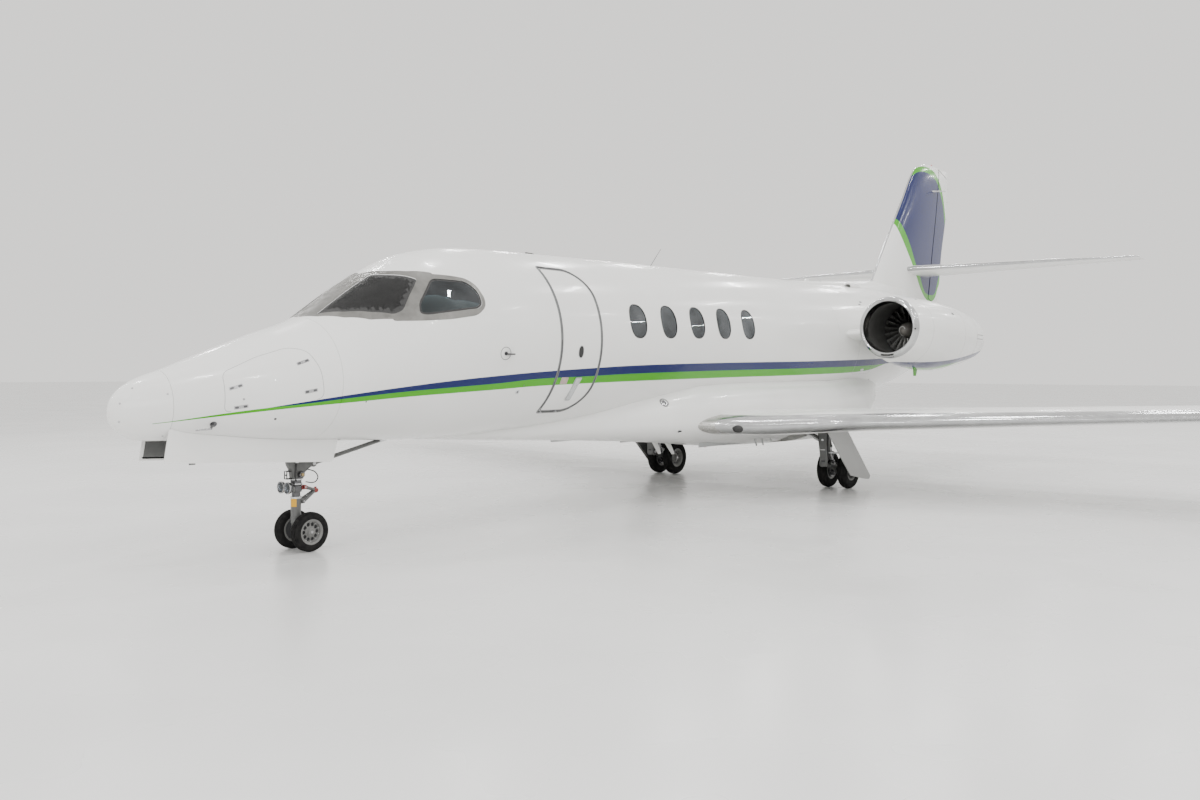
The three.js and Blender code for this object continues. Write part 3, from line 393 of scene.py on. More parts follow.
class Paint:
    """A node material. A value that is the same all over is set on the shader itself."""

    def __init__(self, name, colour, roughness=0.5, metallic=0.0, **more):
        self.material = bpy.data.materials.new(name)
        self.material.use_nodes = True
        self.tree = self.material.node_tree
        self.shader = self.tree.nodes["Principled BSDF"]
        self.place = self.node("ShaderNodeTexCoord").outputs["Object"]
        values = {"Base Color": (*colour, 1.0), "Roughness": roughness, "Metallic": metallic, **more}
        for socket, value in values.items():
            self.shader.inputs[socket].default_value = value

    def node(self, kind, **settings):
        made = self.tree.nodes.new(kind)
        for name, value in settings.items():
            setattr(made, name, value)
        return made

    def link(self, output, target):
        self.tree.links.new(output, target)

    def put(self, value, socket):
        """Links a node's output to a socket, or sets the socket's own value."""
        if isinstance(value, bpy.types.NodeSocket):
            self.link(value, socket)
        else:
            socket.default_value = (*value, 1.0) if isinstance(value, tuple) else value

    def feed(self, made, **values):
        for name, value in values.items():
            self.put(value, made.inputs[name.replace("_", " ")])

    def math(self, operation, *values):
        made = self.node("ShaderNodeMath", operation=operation)
        for socket, value in zip(made.inputs, values):
            self.put(value, socket)
        return made.outputs[0]

    def noise(self, scale, detail=3.0):
        made = self.node("ShaderNodeTexNoise")
        self.feed(made, Scale=scale, Detail=detail, Vector=self.place)
        return made.outputs["Fac"]

    def ramp(self, value, low, high, start=0.35, end=0.65):
        made = self.node("ShaderNodeMapRange")
        self.link(value, made.inputs["Value"])
        self.feed(made, From_Min=start, From_Max=end, To_Min=low, To_Max=high)
        return made.outputs[0]

    def mix(self, factor, first, second):
        made = self.node("ShaderNodeMix", data_type="RGBA")
        for slot, value in ((0, factor), (6, first), (7, second)):
            self.put(value, made.inputs[slot])
        return made.outputs[2]

    def colour(self, output):
        self.link(output, self.shader.inputs["Base Color"])

    def roughness(self, output):
        self.link(output, self.shader.inputs["Roughness"])

    def bump(self, output, distance, strength=0.5):
        made = self.node("ShaderNodeBump")
        self.feed(made, Strength=strength, Distance=distance, Height=output)
        self.link(made.outputs[0], self.shader.inputs["Normal"])

    def mottled(self, colour, amount, scale):
        """Slight darkening and lightening of a colour in soft patches."""
        darker = tuple(c * (1 - amount) for c in colour)
        lighter = tuple(min(c * (1 + amount), 1.0) for c in colour)
        self.colour(self.mix(self.ramp(self.noise(scale), 0.0, 1.0), darker, lighter))

    def axis(self, name):
        split = self.node("ShaderNodeSeparateXYZ")
        self.link(self.place, split.inputs[0])
        return split.outputs[name]

    def line_height(self, points):
        """The height of a curve through (station, z) points at the shaded point's station."""
        stations = [p[0] for p in points]
        heights = [p[1] for p in points]
        first, last, low, high = stations[0], stations[-1], min(heights), max(heights)
        made = self.node("ShaderNodeFloatCurve")
        curve = made.mapping.curves[0]
        for _ in range(len(points) - 2):
            curve.points.new(0.5, 0.5)
        for spot, (station, z) in zip(curve.points, points):
            spot.location = ((station - first) / (last - first), (z - low) / (high - low))
            spot.handle_type = "AUTO_CLAMPED"
        made.mapping.update()
        along = self.ramp(self.axis("Y"), 0.0, 1.0, first - HALF_LENGTH, last - HALF_LENGTH)
        self.link(along, made.inputs["Value"])
        return self.ramp(made.outputs[0], low, high, 0.0, 1.0)

    def between(self, lower, upper, first, last):
        """1 where the shaded point lies between two curves and two stations."""
        z, y = self.axis("Z"), self.axis("Y")
        inside = [
            self.math("GREATER_THAN", z, lower),
            self.math("LESS_THAN", z, upper),
            self.math("GREATER_THAN", y, first - HALF_LENGTH),
            self.math("LESS_THAN", y, last - HALF_LENGTH),
        ]
        result = inside[0]
        for other in inside[1:]:
            result = self.math("MULTIPLY", result, other)
        return result


WHITE = (0.80, 0.80, 0.785)
BLUE = (0.002, 0.009, 0.085)
GREEN = (0.055, 0.33, 0.006)


def gloss_paint(name, colour):
    coat = {"Specular IOR Level": 0.2, "Coat Weight": 0.15, "Coat Roughness": 0.04}
    paint = Paint(name, colour, 0.2, **coat)
    paint.roughness(paint.ramp(paint.noise(9.0), 0.17, 0.25))
    paint.bump(paint.noise(260.0, 2.0), 0.0004, 0.08)
    return paint


# Paint scheme: the lines of the stripe along the fuselage, as (station, z)
STRIPE_TOP = (
    (0.28, 1.302), (0.82, 1.368), (1.38, 1.456), (2.0, 1.545), (2.5, 1.605), (3.03, 1.66), (3.64, 1.71),
    (4.2, 1.748), (5.0, 1.79), (5.83, 1.828), (6.8, 1.857), (7.9, 1.882), (10.6, 1.934), (13.1, 2.005),
    (15.2, 2.09),
)
STRIPE_MIDDLE = (
    (0.28, 1.300), (1.19, 1.424), (1.38, 1.441), (2.0, 1.51), (2.5, 1.554), (3.03, 1.589), (3.64, 1.627),
    (4.2, 1.671), (5.0, 1.697), (5.83, 1.727), (6.8, 1.751), (7.9, 1.774), (10.6, 1.824), (13.1, 1.9),
    (15.2, 2.085),
)
STRIPE_BOTTOM = (
    (0.28, 1.297), (0.82, 1.357), (1.38, 1.415), (2.0, 1.464), (2.5, 1.5), (3.03, 1.529), (3.64, 1.56),
    (4.2, 1.59), (5.0, 1.614), (5.83, 1.634), (6.8, 1.653), (7.9, 1.673), (10.6, 1.718), (12.3, 1.768),
    (13.4, 1.92),
)
# The field on the fin: its first and last station, then its lower and upper edges, the green border's first
FIN_FIELD = (15.6, 18.9)
FIN_LOW_GREEN = (
    (15.6, 5.25), (15.83, 4.87), (15.97, 4.66), (16.26, 4.34), (16.55, 4.07), (16.85, 3.79), (17.09, 3.57),
    (17.4, 3.4), (17.72, 3.33), (18.1, 3.44), (18.28, 3.65), (18.7, 4.1),
)
FIN_LOW_BLUE = (
    (15.6, 5.6), (15.94, 4.97), (16.08, 4.85), (16.23, 4.69), (16.49, 4.41), (16.76, 4.09), (17.03, 3.85),
    (17.27, 3.6), (17.46, 3.5), (17.78, 3.48), (18.1, 3.56), (18.28, 3.82), (18.7, 4.3),
)
FIN_HIGH_BLUE = (
    (16.5, 5.8), (16.86, 6.03), (17.1, 6.12), (17.44, 6.15), (17.75, 6.12), (18.08, 6.03), (18.31, 5.84),
    (18.54, 5.6), (18.68, 5.3), (18.85, 4.9),
)
FIN_HIGH_GREEN = (
    (16.5, 5.9), (16.8, 6.08), (16.97, 6.17), (17.19, 6.25), (17.56, 6.29), (17.94, 6.24), (18.27, 6.06),
    (18.51, 5.84), (18.65, 5.61), (18.78, 5.3), (18.9, 4.9),
)
# Lines of the stripe under each nacelle
COWL_TOP = ((11.4, 1.97), (11.95, 1.925), (12.76, 1.947), (13.6, 2.018), (14.56, 2.136), (15.2, 2.21))
COWL_MIDDLE = ((11.4, 1.93), (12.0, 1.865), (12.67, 1.828), (13.18, 1.89), (14.0, 1.97), (15.2, 2.12))
COWL_BOTTOM = ((11.4, 1.6), (12.8, 1.7), (13.03, 1.799), (13.33, 1.859), (13.9, 1.96))


def two_coloured(name, green, blue, patchy=False):
    """White with a green and a blue field. A field is its lower and upper line and its two end stations."""
    paint = gloss_paint(name, WHITE)
    green, blue = (
        paint.between(paint.line_height(low), paint.line_height(high), first, last)
        for low, high, first, last in (green, blue)
    )
    white = WHITE
    if patchy:
        white = paint.mix(paint.ramp(paint.noise(1.3), 0.0, 1.0), WHITE, tuple(c * 0.975 for c in WHITE))
    paint.colour(paint.mix(blue, paint.mix(green, white, GREEN), BLUE))
    return paint.material


def plain_paint(name, colour, patches=2.0):
    paint = gloss_paint(name, colour)
    paint.mottled(colour, 0.015, patches)
    return paint.material


def bare_metal(name, colour, roughness, scale=60.0, bump=0.0002):
    paint = Paint(name, colour, roughness, 1.0)
    streaks = paint.noise(scale, 4.0)
    paint.roughness(paint.ramp(streaks, roughness * 0.75, roughness * 1.35))
    paint.mottled(colour, 0.08, 7.0)
    paint.bump(streaks, bump, 0.25)
    return paint.material


def dull(name, colour, roughness=0.75, scale=180.0, bump=0.0006, amount=0.12):
    paint = Paint(name, colour, roughness)
    grain = paint.noise(scale, 5.0)
    paint.roughness(paint.ramp(grain, roughness * 0.85, min(roughness * 1.15, 1.0)))
    paint.mottled(colour, amount, 11.0)
    paint.bump(grain, bump, 0.5)
    return paint.material


def leather(name, colour):
    paint = Paint(name, colour, 0.5, **{"Sheen Weight": 0.15})
    cells = paint.node("ShaderNodeTexVoronoi")
    paint.feed(cells, Scale=420.0, Vector=paint.place)
    paint.bump(cells.outputs["Distance"], 0.0008, 0.4)
    paint.mottled(colour, 0.06, 8.0)
    return paint.material


def glazing(name, tint, clear):
    """Thin tinted glass: a clear share that keeps the colour behind it, and a sharp reflection."""
    paint = Paint(name, tint, 0.03)
    through = paint.node("ShaderNodeBsdfTransparent")
    paint.feed(through, Color=tint)
    sheen = paint.node("ShaderNodeBsdfGlossy")
    paint.feed(sheen, Roughness=0.02, Color=(0.9, 0.95, 1.0))
    facing = paint.node("ShaderNodeFresnel")
    paint.feed(facing, IOR=1.5)
    share = paint.math("ADD", facing.outputs[0], paint.ramp(paint.noise(3.0), 0.0, 1 - clear, 0.3, 0.7))
    mixed = paint.node("ShaderNodeMixShader")
    for socket, output in zip(mixed.inputs, (share, through.outputs[0], sheen.outputs[0])):
        paint.link(output, socket)
    paint.link(mixed.outputs[0], paint.tree.nodes["Material Output"].inputs["Surface"])
    return paint.material


def lamp_glass(name, colour):
    paint = Paint(name, colour, 0.08, **{"Coat Weight": 1.0})
    ridges = paint.node("ShaderNodeTexWave")
    paint.feed(ridges, Scale=90.0, Vector=paint.place)
    paint.bump(ridges.outputs["Fac"], 0.0006, 0.3)
    return paint.material


def tyre_rubber():
    paint = Paint("tyre_rubber", (0.01, 0.01, 0.01), 0.8, **{"Specular IOR Level": 0.15})
    dust = paint.noise(24.0, 6.0)
    paint.colour(paint.mix(paint.ramp(dust, 0.0, 1.0), (0.006, 0.006, 0.0065), (0.015, 0.0145, 0.014)))
    paint.bump(paint.noise(420.0, 3.0), 0.0008, 0.5)
    return paint.material


def floor_finish():
    paint = Paint("floor", (0.72, 0.72, 0.71), 0.2, **{"Specular IOR Level": 0.75})
    paint.colour(paint.mix(paint.ramp(paint.noise(0.35), 0.0, 1.0), (0.70, 0.70, 0.695), (0.76, 0.76, 0.752)))
    paint.roughness(paint.ramp(paint.noise(0.8), 0.22, 0.32))
    return paint.material


STRIPED = two_coloured(
    "paint_striped",
    (STRIPE_BOTTOM, STRIPE_MIDDLE, STRIPE_TOP[0][0], STRIPE_BOTTOM[-1][0]),
    (STRIPE_MIDDLE, STRIPE_TOP, STRIPE_TOP[0][0], STRIPE_TOP[-1][0]),
    patchy=True,
)
FIN_PAINT = two_coloured(
    "paint_fin", (FIN_LOW_GREEN, FIN_HIGH_GREEN, *FIN_FIELD), (FIN_LOW_BLUE, FIN_HIGH_BLUE, *FIN_FIELD),
)
COWL_PAINT = two_coloured(
    "paint_cowl",
    (COWL_BOTTOM, COWL_MIDDLE, COWL_TOP[0][0], COWL_BOTTOM[-1][0]),
    (COWL_MIDDLE, COWL_TOP, COWL_TOP[0][0], COWL_TOP[-1][0]),
)
WHITE_PAINT = plain_paint("paint_white", WHITE)
GREEN_PAINT = plain_paint("paint_green", GREEN)
GREY_PAINT = plain_paint("paint_grey", (0.42, 0.43, 0.43), 6.0)
# Grey for the main gear's doors: painted shade that stands for the shadow on them
DOOR_SHADE_GREY = plain_paint("paint_door_shade", (0.40, 0.40, 0.395), 3.0)
POLISHED = bare_metal("polished_metal", (0.50, 0.505, 0.51), 0.18, 30.0)
CUFF_METAL = bare_metal("worn_metal", (0.5, 0.495, 0.475), 0.3, 22.0, bump=0.0012)
FRAME_METAL = bare_metal("frame_metal", (0.2, 0.197, 0.187), 0.4, 12.0, bump=0.0004)
SATIN = bare_metal("satin_metal", (0.62, 0.63, 0.64), 0.32)
STEEL = bare_metal("steel", (0.45, 0.45, 0.46), 0.28)
FAN_METAL = bare_metal("fan_metal", (0.34, 0.34, 0.33), 0.3)
CHROME = bare_metal("chrome", (0.88, 0.88, 0.9), 0.06, 80.0)
DARK_METAL = bare_metal("dark_metal", (0.13, 0.13, 0.135), 0.38)
BURNT = bare_metal("heat_stained_metal", (0.36, 0.32, 0.28), 0.34, 25.0)
BRASS = bare_metal("brass", (0.36, 0.27, 0.14), 0.35)
GEAR_PAINT = dull("gear_paint", (0.10, 0.102, 0.10), 0.38, 90.0, 0.0003, 0.07)
GEAR_WHITE = dull("gear_white", (0.68, 0.68, 0.67), 0.36, 90.0, 0.0003, 0.05)
HUB_PAINT = dull("hub_paint", (0.15, 0.15, 0.145), 0.36, 90.0, 0.0003, 0.07)
HUB_METAL = dull("hub_metal", (0.24, 0.24, 0.235), 0.34, 90.0, 0.0003, 0.07)
WELL_WHITE = dull("well_white", (0.62, 0.62, 0.60), 0.6)
SEAL = dull("rubber_seal", (0.15, 0.152, 0.155), 0.6)
SEAM = dull("seam", (0.30, 0.30, 0.30), 0.7)
BLACK = dull("black_rubber", (0.02, 0.02, 0.02), 0.6)
# Near-black for dark parts, and also for painted shade inside the wheels and the engines
DARK = dull("dark_inside", (0.045, 0.046, 0.048), 0.8)
LINER = dull("duct_liner", (0.07, 0.07, 0.067), 0.55, 700.0, 0.0012)
SPINNER = dull("spinner_grey", (0.2, 0.19, 0.175), 0.42, 60.0, 0.0003)
PLATE_PINK = dull("worn_plate", (0.42, 0.33, 0.30), 0.5)
TRIM = dull("cabin_trim", (0.62, 0.58, 0.50), 0.7)
CARPET = dull("carpet", (0.20, 0.17, 0.14), 0.95, 900.0, 0.003)
PANEL_GREY = dull("panel_grey", (0.075, 0.077, 0.08), 0.55)
SCREEN = dull("screen", (0.012, 0.018, 0.026), 0.12, 40.0, 0.0)
RED = dull("red_fitting", (0.22, 0.03, 0.025), 0.4)
YELLOW = dull("yellow_collar", (0.62, 0.33, 0.01), 0.45)
SEAT_LEATHER = leather("seat_leather", (0.56, 0.47, 0.36))
DARK_LEATHER = leather("crew_leather", (0.16, 0.15, 0.14))
WINDSHIELD = glazing("windshield_glass", (0.33, 0.385, 0.385), 0.94)
CABIN_GLASS = glazing("cabin_glass", (0.66, 0.69, 0.70), 0.88)
LENS = glazing("lamp_lens", (0.93, 0.94, 0.95), 0.96)
RED_LAMP = lamp_glass("lamp_red", (0.5, 0.02, 0.02))
GREEN_LAMP = lamp_glass("lamp_green", (0.02, 0.4, 0.1))
RUBBER = tyre_rubber()


# Fuselage. Columns: station, top z, bottom z, half width, z of the widest point
SKIN = Table([
    (0.0, 1.415, 1.365, 0.02, 1.385), (0.02, 1.5, 1.3, 0.06, 1.4), (0.1, 1.6, 1.212, 0.13, 1.41),
    (0.23, 1.68, 1.148, 0.2, 1.42), (0.455, 1.762, 1.137, 0.31, 1.44), (0.8, 1.9, 1.127, 0.44, 1.49),
    (1.3, 2.092, 1.09, 0.61, 1.56), (1.8, 2.27, 1.065, 0.75, 1.64), (2.05, 2.44, 1.056, 0.815, 1.7),
    (2.29, 2.61, 1.046, 0.86, 1.76), (2.66, 2.83, 1.034, 0.93, 1.88), (3.05, 3.01, 1.02, 0.985, 1.97),
    (3.6, 3.12, 1.02, 1.04, 2.06), (4.2, 3.16, 1.04, 1.06, 2.1), (11.3, 3.332, 1.212, 1.06, 2.272),
    (12.5, 3.361, 1.246, 1.055, 2.3), (13.4, 3.38, 1.31, 1.02, 2.335), (14.4, 3.39, 1.42, 0.95, 2.4),
    (15.3, 3.39, 1.585, 0.84, 2.47), (16.2, 3.38, 1.79, 0.69, 2.56), (17.1, 3.35, 2.05, 0.49, 2.66),
    (17.9, 3.29, 2.34, 0.29, 2.78), (18.45, 3.18, 2.6, 0.15, 2.88), (18.7, 3.05, 2.74, 0.07, 2.9),
])
# The fairing under the belly, with the same columns
FAIRING = Table([
    (3.25, 1.15, 1.01, 0.12, 1.07), (4.5, 1.18, 0.935, 0.3, 1.05), (5.4, 1.3, 0.89, 0.54, 1.09),
    (6.2, 1.48, 0.843, 0.82, 1.1), (7.0, 1.625, 0.787, 1.035, 1.11), (7.5, 1.7, 0.75, 1.125, 1.12),
    (8.8, 1.735, 0.64, 1.165, 1.14), (11.3, 1.735, 0.6, 1.165, 1.15), (12.2, 1.8, 0.69, 1.11, 1.18),
    (13.0, 1.8, 0.98, 0.9, 1.3), (13.8, 1.8, 1.26, 0.56, 1.45),
])
FAIRING_POWER = 2.5
WALL = 0.09
RADOME_END, NOSE_END, CABIN_END, AFT_END, TAIL_END = 0.42, 1.8, 11.3, 16.2, 18.7
SEAM_WIDTH = 0.003
SLOPE_STEP = 0.004
SKIN_LAYERS = [STRIPED, TRIM, GREY_PAINT]
NOSE_BAY = {"x": 0.215, "start": 0.52, "end": 2.16, "roof": 1.3}


def body_ring(table, station, inset=0.0, power=2.0, count=112):
    top, bottom, half, widest = table.at(station)
    ring = []
    for i in range(count):
        angle = math.tau * i / count
        c, s = math.cos(angle), math.sin(angle)
        reach = top - inset - widest if s > 0 else widest - bottom - inset
        x = math.copysign(abs(c) ** (2 / power), c) * (half - inset)
        z = widest + math.copysign(abs(s) ** (2 / power), s) * reach
        ring.append((x, station, z))
    return ring


def body(name, table, stations, inset=0.0, power=2.0, materials=(), index=0, count=112):
    rings = [body_ring(table, s, inset, power, count) for s in stations]
    return loft(name, rings, materials, (lambda k, i: index) if index else None)


def centre_z(station):
    return SKIN.at(station)[3]


def half_width(table, station, z, power=2.0):
    top, bottom, half, widest = table.at(station)
    share = abs(z - widest) / (top - widest if z > widest else widest - bottom)
    return half * max(1 - share ** power, 0.0) ** (1 / power)


class Spot:
    """A place on a surface: across is towards the tail, up is along the surface, out is its normal."""

    def __init__(self, point, normal, along=(0, 1, 0)):
        self.point = Vector(point)
        self.out = Vector(normal).normalized()
        along = Vector(along)
        self.across = (along - self.out * along.dot(self.out)).normalized()
        self.up = self.out.cross(self.across)
        if self.up.z < 0:
            self.up = -self.up

    def at(self, across=0.0, up=0.0, out=0.0):
        return self.point + self.across * across + self.up * up + self.out * out


def side_spot(side, station, z, table=SKIN, power=2.0, lift=0.0):
    """A place on the side of a body, at a station and a height."""
    def slope(dy, dz):
        rise = half_width(table, station + dy, z + dz, power) - half_width(table, station - dy, z - dz, power)
        return rise / (2 * SLOPE_STEP)

    normal = Vector((side, -slope(SLOPE_STEP, 0), -slope(0, SLOPE_STEP))).normalized()
    return Spot(Vector((side * half_width(table, station, z, power), station, z)) + normal * lift, normal)


def ribbon(name, spots, width, material, lift=0.0006, closed=False, depth=0.002):
    """A thin strip that hugs a surface through a row of spots."""
    rings = []
    total = len(spots)
    for i, spot in enumerate(spots):
        before = spots[i - 1] if closed or i else spot
        after = spots[(i + 1) % total] if closed or i + 1 < total else spot
        along = (after.point - before.point).normalized()
        side = spot.out.cross(along).normalized() * width / 2
        top, low = spot.point + spot.out * lift, spot.point - spot.out * depth
        rings.append([top - side, top + side, low + side, low - side])
    if closed:
        rings.append(rings[0])
    return loft(name, rings, [material], caps=not closed)


def dense(outline, step=0.02, closed=True):
    """Points along an outline no further apart than a step."""
    result = []
    ends = outline[1:] + outline[:1] if closed else outline[1:]
    for a, b in zip(outline, ends):
        parts = max(1, math.ceil((Vector(b) - Vector(a)).length / step))
        result += [tuple(Vector(a).lerp(Vector(b), i / parts)) for i in range(parts)]
    return result if closed else [*result, outline[-1]]


def plate(name, spot, outline, low, high, material, bevel=0.0):
    """A flat plate on a spot, from a flat outline of (across, up)."""
    rings = [[spot.at(u, v, w) for u, v in outline] for w in (low, high - bevel)]
    if bevel:
        rings.append([spot.at(u, v, high) for u, v in offset_outline(outline, -bevel)])
    return loft(name, rings, [material])


# Windows. Front pane corners are (x, y), side pane corners are (y, z)
FRONT_PANE = rounded([
    (0.185, 1.88), (0.185, 2.515), (0.33, 2.59), (0.516, 2.737), (0.595, 2.79), (0.64, 2.72), (0.745, 2.5),
    (0.725, 2.4), (0.60, 2.212), (0.426, 2.03),
], 0.03)
SIDE_PANE = rounded([
    (2.64, 2.32), (2.72, 2.307), (3.32, 2.4), (3.375, 2.45), (3.378, 2.577), (3.285, 2.691), (2.916, 2.702),
    (2.67, 2.43),
], 0.07)
FRAME_FRONT = rounded([
    (0.0, 1.80), (0.232, 1.86), (0.477, 1.993), (0.648, 2.177), (0.752, 2.39), (0.86, 2.66), (0.86, 2.8),
    (0.72, 2.95), (0.61, 2.973), (0.447, 2.765), (0.283, 2.63), (0.0, 2.52), (-0.02, 2.2),
], 0.03)
FRAME_SIDE = rounded([
    (2.35, 2.236), (2.664, 2.249), (2.957, 2.273), (3.284, 2.327), (3.399, 2.417), (3.422, 2.503),
    (3.378, 2.652), (3.295, 2.72), (3.158, 2.74), (2.973, 2.749), (2.758, 2.75), (2.5, 2.45),
], 0.06)
WINDOW = {"width": 0.33, "height": 0.418, "pitch": 0.641, "first": 5.888, "count": 5, "rise": 0.221}
DOOR = {
    "start": 4.462, "end": 5.168, "low": 1.283, "high": 2.95, "inner": 0.49, "gap": 0.017,
    "corner": 0.33, "front_corner": 0.035,
}
COCKPIT = {"front": 1.98, "floor": 1.5, "back": 3.3}
CABIN_BACK = 11.15
FLOOR_DROP = 0.76
# The galley and the closet, from side to side and from front to back
CABINETS = [("galley", -1.1, -0.48, 3.42, 4.9), ("closet", 0.48, 1.1, 3.42, 4.3)]


def window_centres(side):
    extra = 1 if side < 0 else 0
    stations = [WINDOW["first"] + (i - extra) * WINDOW["pitch"] for i in range(WINDOW["count"] + extra)]
    return [(station, centre_z(station) + WINDOW["rise"]) for station in stations]


def window_outline(centre, wider, taller, points=48):
    return superellipse(centre, WINDOW["width"] / 2 + wider, WINDOW["height"] / 2 + taller, 2.4, points)


def window_prisms(side, grow):
    low, high = sorted((side * 0.66, side * 1.16))
    outlines = [window_outline(centre, grow, grow, 40) for centre in window_centres(side)]
    return [prism("opening", outline, "x", low, high, (), 2) for outline in outlines]


def pane_prism(side, pane, grow=0.0):
    if pane == "front":
        outline = [(side * x, y) for x, y in offset_outline(FRONT_PANE, grow)]
        return prism("pane", outline, "z", 2.1, 3.0, (), 2)
    low, high = sorted((side * 0.4, side * 1.2))
    return prism("pane", offset_outline(SIDE_PANE, grow), "x", low, high, (), 2)


def arc(u, v, radius, start, end, steps):
    """Points round a part of a circle, between two angles in quarter turns."""
    angles = spread(start * math.pi / 2, end * math.pi / 2, steps)
    return [(u + radius * math.cos(a), v + radius * math.sin(a)) for a in angles]


def door_outline(inset):
    """The door's edge as (station, z): nearly square in front, round behind."""
    radius, corner = DOOR["corner"] - inset, DOOR["front_corner"]
    low, high = DOOR["low"] + inset, DOOR["high"] - inset
    front, rear = DOOR["start"] + inset + corner, DOOR["end"] - DOOR["corner"]
    return [
        *arc(front, low + corner, corner, -2, -1, 6),
        *arc(rear, low + radius, radius, -1, 0, 10),
        *arc(rear, high - radius, radius, 0, 1, 10),
        *arc(front, high - corner, corner, 1, 2, 6),
    ]


def floor_at(station):
    return centre_z(station) - FLOOR_DROP


def cabin_space():
    """The hollow of the cockpit and the cabin, flat at its floors."""
    stations = [*spread(COCKPIT["front"], 4.2, 24), *spread(4.3, CABIN_BACK, 40)]
    space = body("space", SKIN, stations, WALL, index=1)
    for name, low, high, start, end in CABINETS:
        cut(space, block(name, (low, start, 1.0), (high, end, 3.4), TRIM, 0))
    back, far = COCKPIT["back"], CABIN_BACK + 0.5
    outline = [
        (1.4, COCKPIT["floor"]), (back, COCKPIT["floor"]), (back, floor_at(back)), (far, floor_at(far)),
        (far, 4.0), (1.4, 4.0),
    ]
    return within(space, prism("above", outline, "x", -1.5, 1.5, (), 1))


def nose_bay():
    x, start, end, roof = (NOSE_BAY[key] for key in ("x", "start", "end", "roof"))
    return block("bay", (-x, start, 0.7), (x, end, roof), DARK, 0)


def skin_shell(stations, outer, inner, index=0, materials=(), count=112, table=SKIN, power=2.0):
    """A layer of skin between two depths."""
    first, last = stations[0] - 0.05, stations[-1] + 0.05
    shell = body("shell", table, stations, outer, power, materials, index, count)
    core = body("core", table, [first, *stations[1:-1], last], inner, power, (), index, count)
    return cut(shell, core)


def skin_part(name, stations):
    return body(name, SKIN, stations, materials=SKIN_LAYERS)


def make_fuselage():
    seam = SEAM_WIDTH / 2
    tip = [RADOME_END * t * t for t in spread(0, 1, 14)]
    radome = skin_part("radome_skin", [*tip[:-1], RADOME_END - seam])
    piece(radome, stands_for=["radome"])
    nose = skin_part("nose_skin", spread(RADOME_END + seam, NOSE_END - seam, 26))
    piece(cut(nose, nose_bay()), stands_for=["nose_section"])
    shell = skin_part("cabin_skin", [*spread(NOSE_END + seam, 4.2, 48), *spread(4.3, CABIN_END - seam, 48)])
    doorway = prism("doorway", door_outline(0.0), "x", DOOR["inner"], 1.3, (), 2)
    openings = [pane_prism(side, pane) for side, _ in SIDES for pane in ("front", "side")]
    windows = [made for side, _ in SIDES for made in window_prisms(side, 0.0)]
    cut(shell, cabin_space(), nose_bay(), doorway, *openings, *windows)
    piece(shell, stands_for=["cabin_shell"])
    make_rear(seam)


# The raised spine in front of the fin. Columns: station, top z, half width
SPINE = Table([
    (11.305, 3.338, 0.03), (11.9, 3.372, 0.07), (13.03, 3.445, 0.13), (13.87, 3.502, 0.15),
    (14.83, 3.579, 0.15), (16.15, 3.6, 0.12),
])
SCOOP = {"x": 0.26, "z": 3.34, "start": 13.22, "end": 14.1, "radius": 0.1, "bore": 0.056}


def make_rear(seam):
    """The rear fuselage with its spine and air scoop, and the tail cone."""
    rear = skin_part("aft_skin", spread(CABIN_END + seam, AFT_END - seam, 50))
    rings = []
    for station in spread(11.31, 16.15, 40):
        top, half = SPINE.at(station)
        foot = SKIN.at(station)[0] - 0.12
        arch = spread(0, math.pi, 24)
        rings.append([(half * 1.6 * math.cos(a), station, foot + (top - foot) * math.sin(a)) for a in arch])
    spine = loft("spine", rings, SKIN_LAYERS)
    x, z, start, radius = (SCOOP[key] for key in ("x", "z", "start", "radius"))
    length = SCOOP["end"] - start
    hood = [(0.062, 0), (0.078, 0.006), (0.088, 0.03), (radius, 0.12), (0.09, 0.5), (0.06, length)]
    scoop = lathe("scoop", hood, (x, start, z), (x * -0.6, length, 0), WHITE_PAINT)
    bore = rod("bore", (x, start - 0.01, z), (x - 0.02, start + 0.26, z), SCOOP["bore"], DARK)
    combine(rear, [spine, scoop], "UNION")
    cut(rear, bore)
    piece(rear, stands_for=["aft_fuselage"])
    tail = skin_part("tail_cone_skin", spread(AFT_END + seam, TAIL_END, 36))
    piece(tail, stands_for=["tail_cone"])


# Columns of a wing part: x, leading station, leading z, trailing station, thickness, camber
WING = Table([
    (0.9, 7.05, 1.05, 11.7, 0.078, 0.0), (1.3, 7.33, 1.04, 11.73, 0.078, 0.002),
    (1.55, 7.72, 1.025, 11.74, 0.085, 0.005), (1.9, 8.23, 1.035, 11.75, 0.095, 0.008),
    (2.35, 8.657, 1.056, 11.755, 0.1, 0.01), (3.5, 9.048, 1.103, 11.77, 0.1, 0.012),
    (6.4, 10.034, 1.223, 12.13, 0.096, 0.014), (10.85, 11.547, 1.407, 12.715, 0.092, 0.014),
    (10.98, 11.66, 1.412, 12.735, 0.07, 0.01), (11.025, 11.83, 1.415, 12.7, 0.04, 0.005),
])
WHEEL_BAY = {"inner": 0.42, "outer": 1.12, "start": 9.78, "end": 10.48, "roof": 0.95}
LEG_BAY = {"inner": 1.0, "outer": 1.76, "start": 9.43, "end": 9.87, "roof": 1.01}


def bay_block(side, bay):
    xs = (side * bay["inner"], side * bay["outer"])
    return mirrored_block("bay", xs, (bay["start"], bay["end"]), (0.4, bay["roof"]), WELL_WHITE, 0)


def make_fairing():
    layers = [WHITE_PAINT, WELL_WHITE]
    fairing = body("belly_skin", FAIRING, spread(3.25, 13.8, 90), power=FAIRING_POWER, materials=layers)
    hull = body("hull", SKIN, spread(3.0, 14.2, 60), 0.002)
    bays = [bay_block(side, bay) for side, _ in SIDES for bay in (WHEEL_BAY, LEG_BAY)]
    cut(fairing, hull, *bays)
    piece(fairing, stands_for=["belly_fairing"])


# Windows and the cockpit's metal frame
PANES = (("front", "windshield"), ("side", "side_window"))


